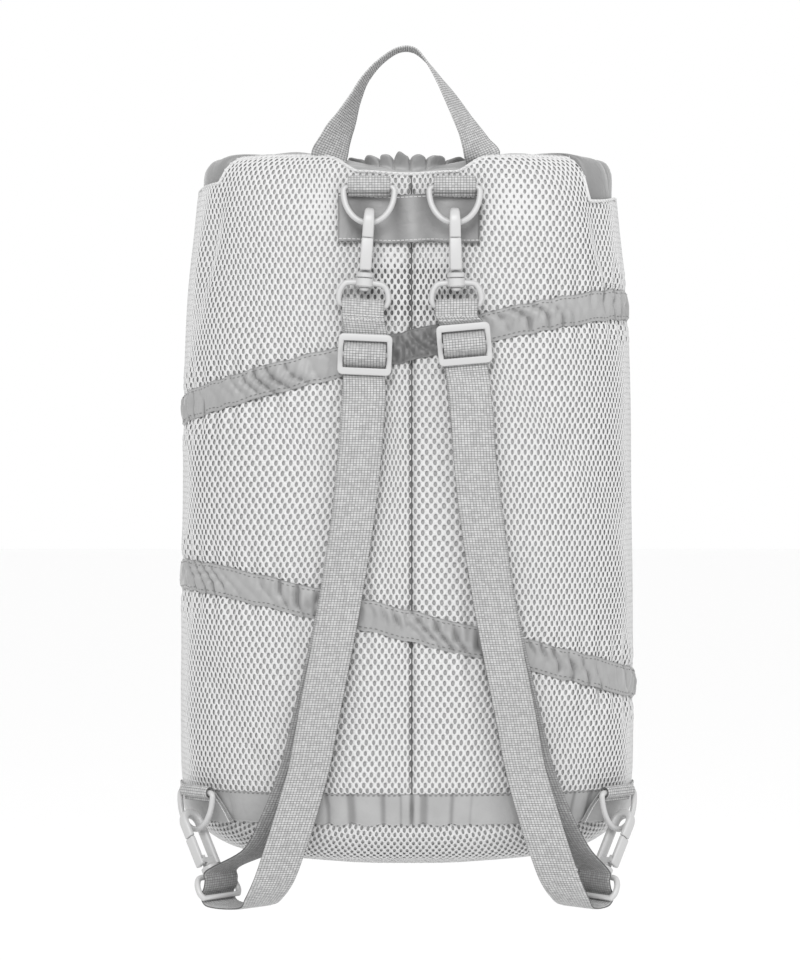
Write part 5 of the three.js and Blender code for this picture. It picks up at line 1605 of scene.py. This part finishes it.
block = soft_cube(
    (-BLOCK_WIDE / 2, -BLOCK_FRONT, BLOCK_FOOT),
    (BLOCK_WIDE / 2, HOOK_REACH + HOOK_DEEP / 2, BLOCK_TOP),
    BLOCK_EDGE,
)
hook_model = join_pieces("snap_hook", bar, swivel, block)
copy_to_clips(hook_model, "snap_hook", "hook", "hook", moves=True)

# %% [markdown]
# ### Gate
# The gate is a stamped lever that a spring pushes shut against the nose. It is as wide as the nose,
# and two cheeks at its foot close round the block, where a pin goes through all. The lever and the
# cheeks are cubes with soft edges, and the pin is spun.

# %% Gates
GATE_HALF, GATE_FRONT, GATE_BACK, GATE_FOOT, GATE_EDGE = 3.9, -2.4, 1.0, 4.8, 1.1
CHEEK_THICK, CHEEK_BACK, CHEEK_LOW, CHEEK_HIGH, CHEEK_EDGE = 0.8, 2.6, -2.0, 3.6, 0.3
PIN_RADIUS, PIN_HALF, PIN_CHAMFER = 1.3, GATE_HALF + GAP, 0.2
gate_low, gate_high = GATE_FOOT - GATE_PIVOT, NOSE_TIP - GAP - GATE_PIVOT
pieces = [
    soft_cube((-GATE_HALF, GATE_FRONT, gate_low), (GATE_HALF, GATE_BACK, gate_high), GATE_EDGE)
]
for low_x, high_x in ((-GATE_HALF, CHEEK_THICK - GATE_HALF), (GATE_HALF - CHEEK_THICK, GATE_HALF)):
    low, high = (low_x, GATE_FRONT / 2, CHEEK_LOW), (high_x, CHEEK_BACK, CHEEK_HIGH)
    pieces.append(soft_cube(low, high, CHEEK_EDGE))
pin_side = [(0, PIN_HALF), (PIN_RADIUS - PIN_CHAMFER, PIN_HALF)]
pin_side += [(PIN_RADIUS, PIN_HALF - PIN_CHAMFER)]
pin = turned_piece("gate_pin", [(r, -z) for r, z in pin_side] + pin_side[::-1])
pin.rotation_euler = (0, math.radians(90), 0)
copy_to_clips(join_pieces("gate", *pieces, pin), "snap_gate", "gate", "gate", moves=True)

# %% [markdown]
# ### Bail
# The bail is a wire loop with a turned eye at its top that the hook's stem goes through. The loop
# is a curve, and the eye is a ring spun from its profile.

# %% Bails
BAIL_SIDE = [(6.5, -3.4), (12.5, -4.3), (15.3, -7.8), (16.4, -11.9), (16.3, -15.6)]
BAIL_SIDE += [(14.7, BAIL_BAR)]
BAIL_SAMPLES = 8
EYE_LOW, EYE_HIGH, EYE_BORE, EYE_CHAMFER = -6.4, -0.4, 2.3, 0.9
half_bail = [tuple(place) for place in smooth_run(BAIL_SIDE, BAIL_SAMPLES)]
bail_wire = wire_piece("bail_wire", half_bail + [(-x, z) for x, z in half_bail[::-1]])
eye_profile = [(EYE_BORE, EYE_LOW), (COLLAR_RADIUS - EYE_CHAMFER, EYE_LOW)]
eye_profile += [(COLLAR_RADIUS, EYE_LOW + EYE_CHAMFER), (COLLAR_RADIUS, EYE_HIGH - COLLAR_EDGE)]
eye_profile += [(COLLAR_RADIUS - COLLAR_EDGE, EYE_HIGH), (EYE_BORE, EYE_HIGH), (EYE_BORE, EYE_LOW)]
eye = turned_piece("bail_eye", eye_profile)
copy_to_clips(join_pieces("bail", bail_wire, eye), "strap_bail", "bail", "bail")

# %% [markdown]
# ### Slider
# The strap adjuster is a flat frame with a bar across its middle. A grid of three by five faces is
# drawn out to the bars' widths, the two windows are deleted, the corners are rounded, and the
# sheet gets its thickness and soft edges.

# %% Sliders
half_wide, half_tall, half_bar = SLIDER_WIDE / 2, SLIDER_TALL / 2, SLIDER_MIDDLE / 2
window_x, window_z = half_wide - SLIDER_SIDE, half_tall - SLIDER_END
LINES_X = (-half_wide, -window_x, window_x, half_wide)
LINES_Z = (-half_tall, -window_z, -half_bar, half_bar, window_z, half_tall)
SLIDER_EDGE, NEAR = 0.8, 0.1
clear_selection()
bpy.ops.mesh.primitive_grid_add(x_subdivisions=3, y_subdivisions=5, size=2)
slider_model = bpy.context.object
for vertex in slider_model.data.vertices:
    column, row = round((vertex.co.x + 1) * 1.5), round((vertex.co.y + 1) * 2.5)
    vertex.co = (LINES_X[column], 0, LINES_Z[row])
edit_where(slider_model, lambda co: abs(co.x) < 1 and half_bar < abs(co.z) < window_z, kind="FACE")
bpy.ops.mesh.delete(type="FACE")
edit_where(slider_model, lambda co: abs(co.x) > half_wide - NEAR and abs(co.z) > half_tall - NEAR)
bpy.ops.mesh.bevel(offset=SLIDER_CORNER, segments=5, affect="VERTICES")
bpy.ops.object.mode_set(mode="OBJECT")
select_only(slider_model)
wall = slider_model.modifiers.new("thickness", "SOLIDIFY")
wall.thickness, wall.offset = SLIDER_THICK, 0
bpy.ops.object.modifier_apply(modifier=wall.name)
close_up(slider_model)
apply_bevel(slider_model, SLIDER_EDGE, angle=50)
bpy.ops.object.shade_smooth_by_angle(angle=SMOOTH_BELOW)
for side, place in SLIDER_FRAMES.items():
    copy_to(slider_model, f"strap_slider_{side}", place, "sack", f"slider_{side}")
bpy.data.objects.remove(slider_model)
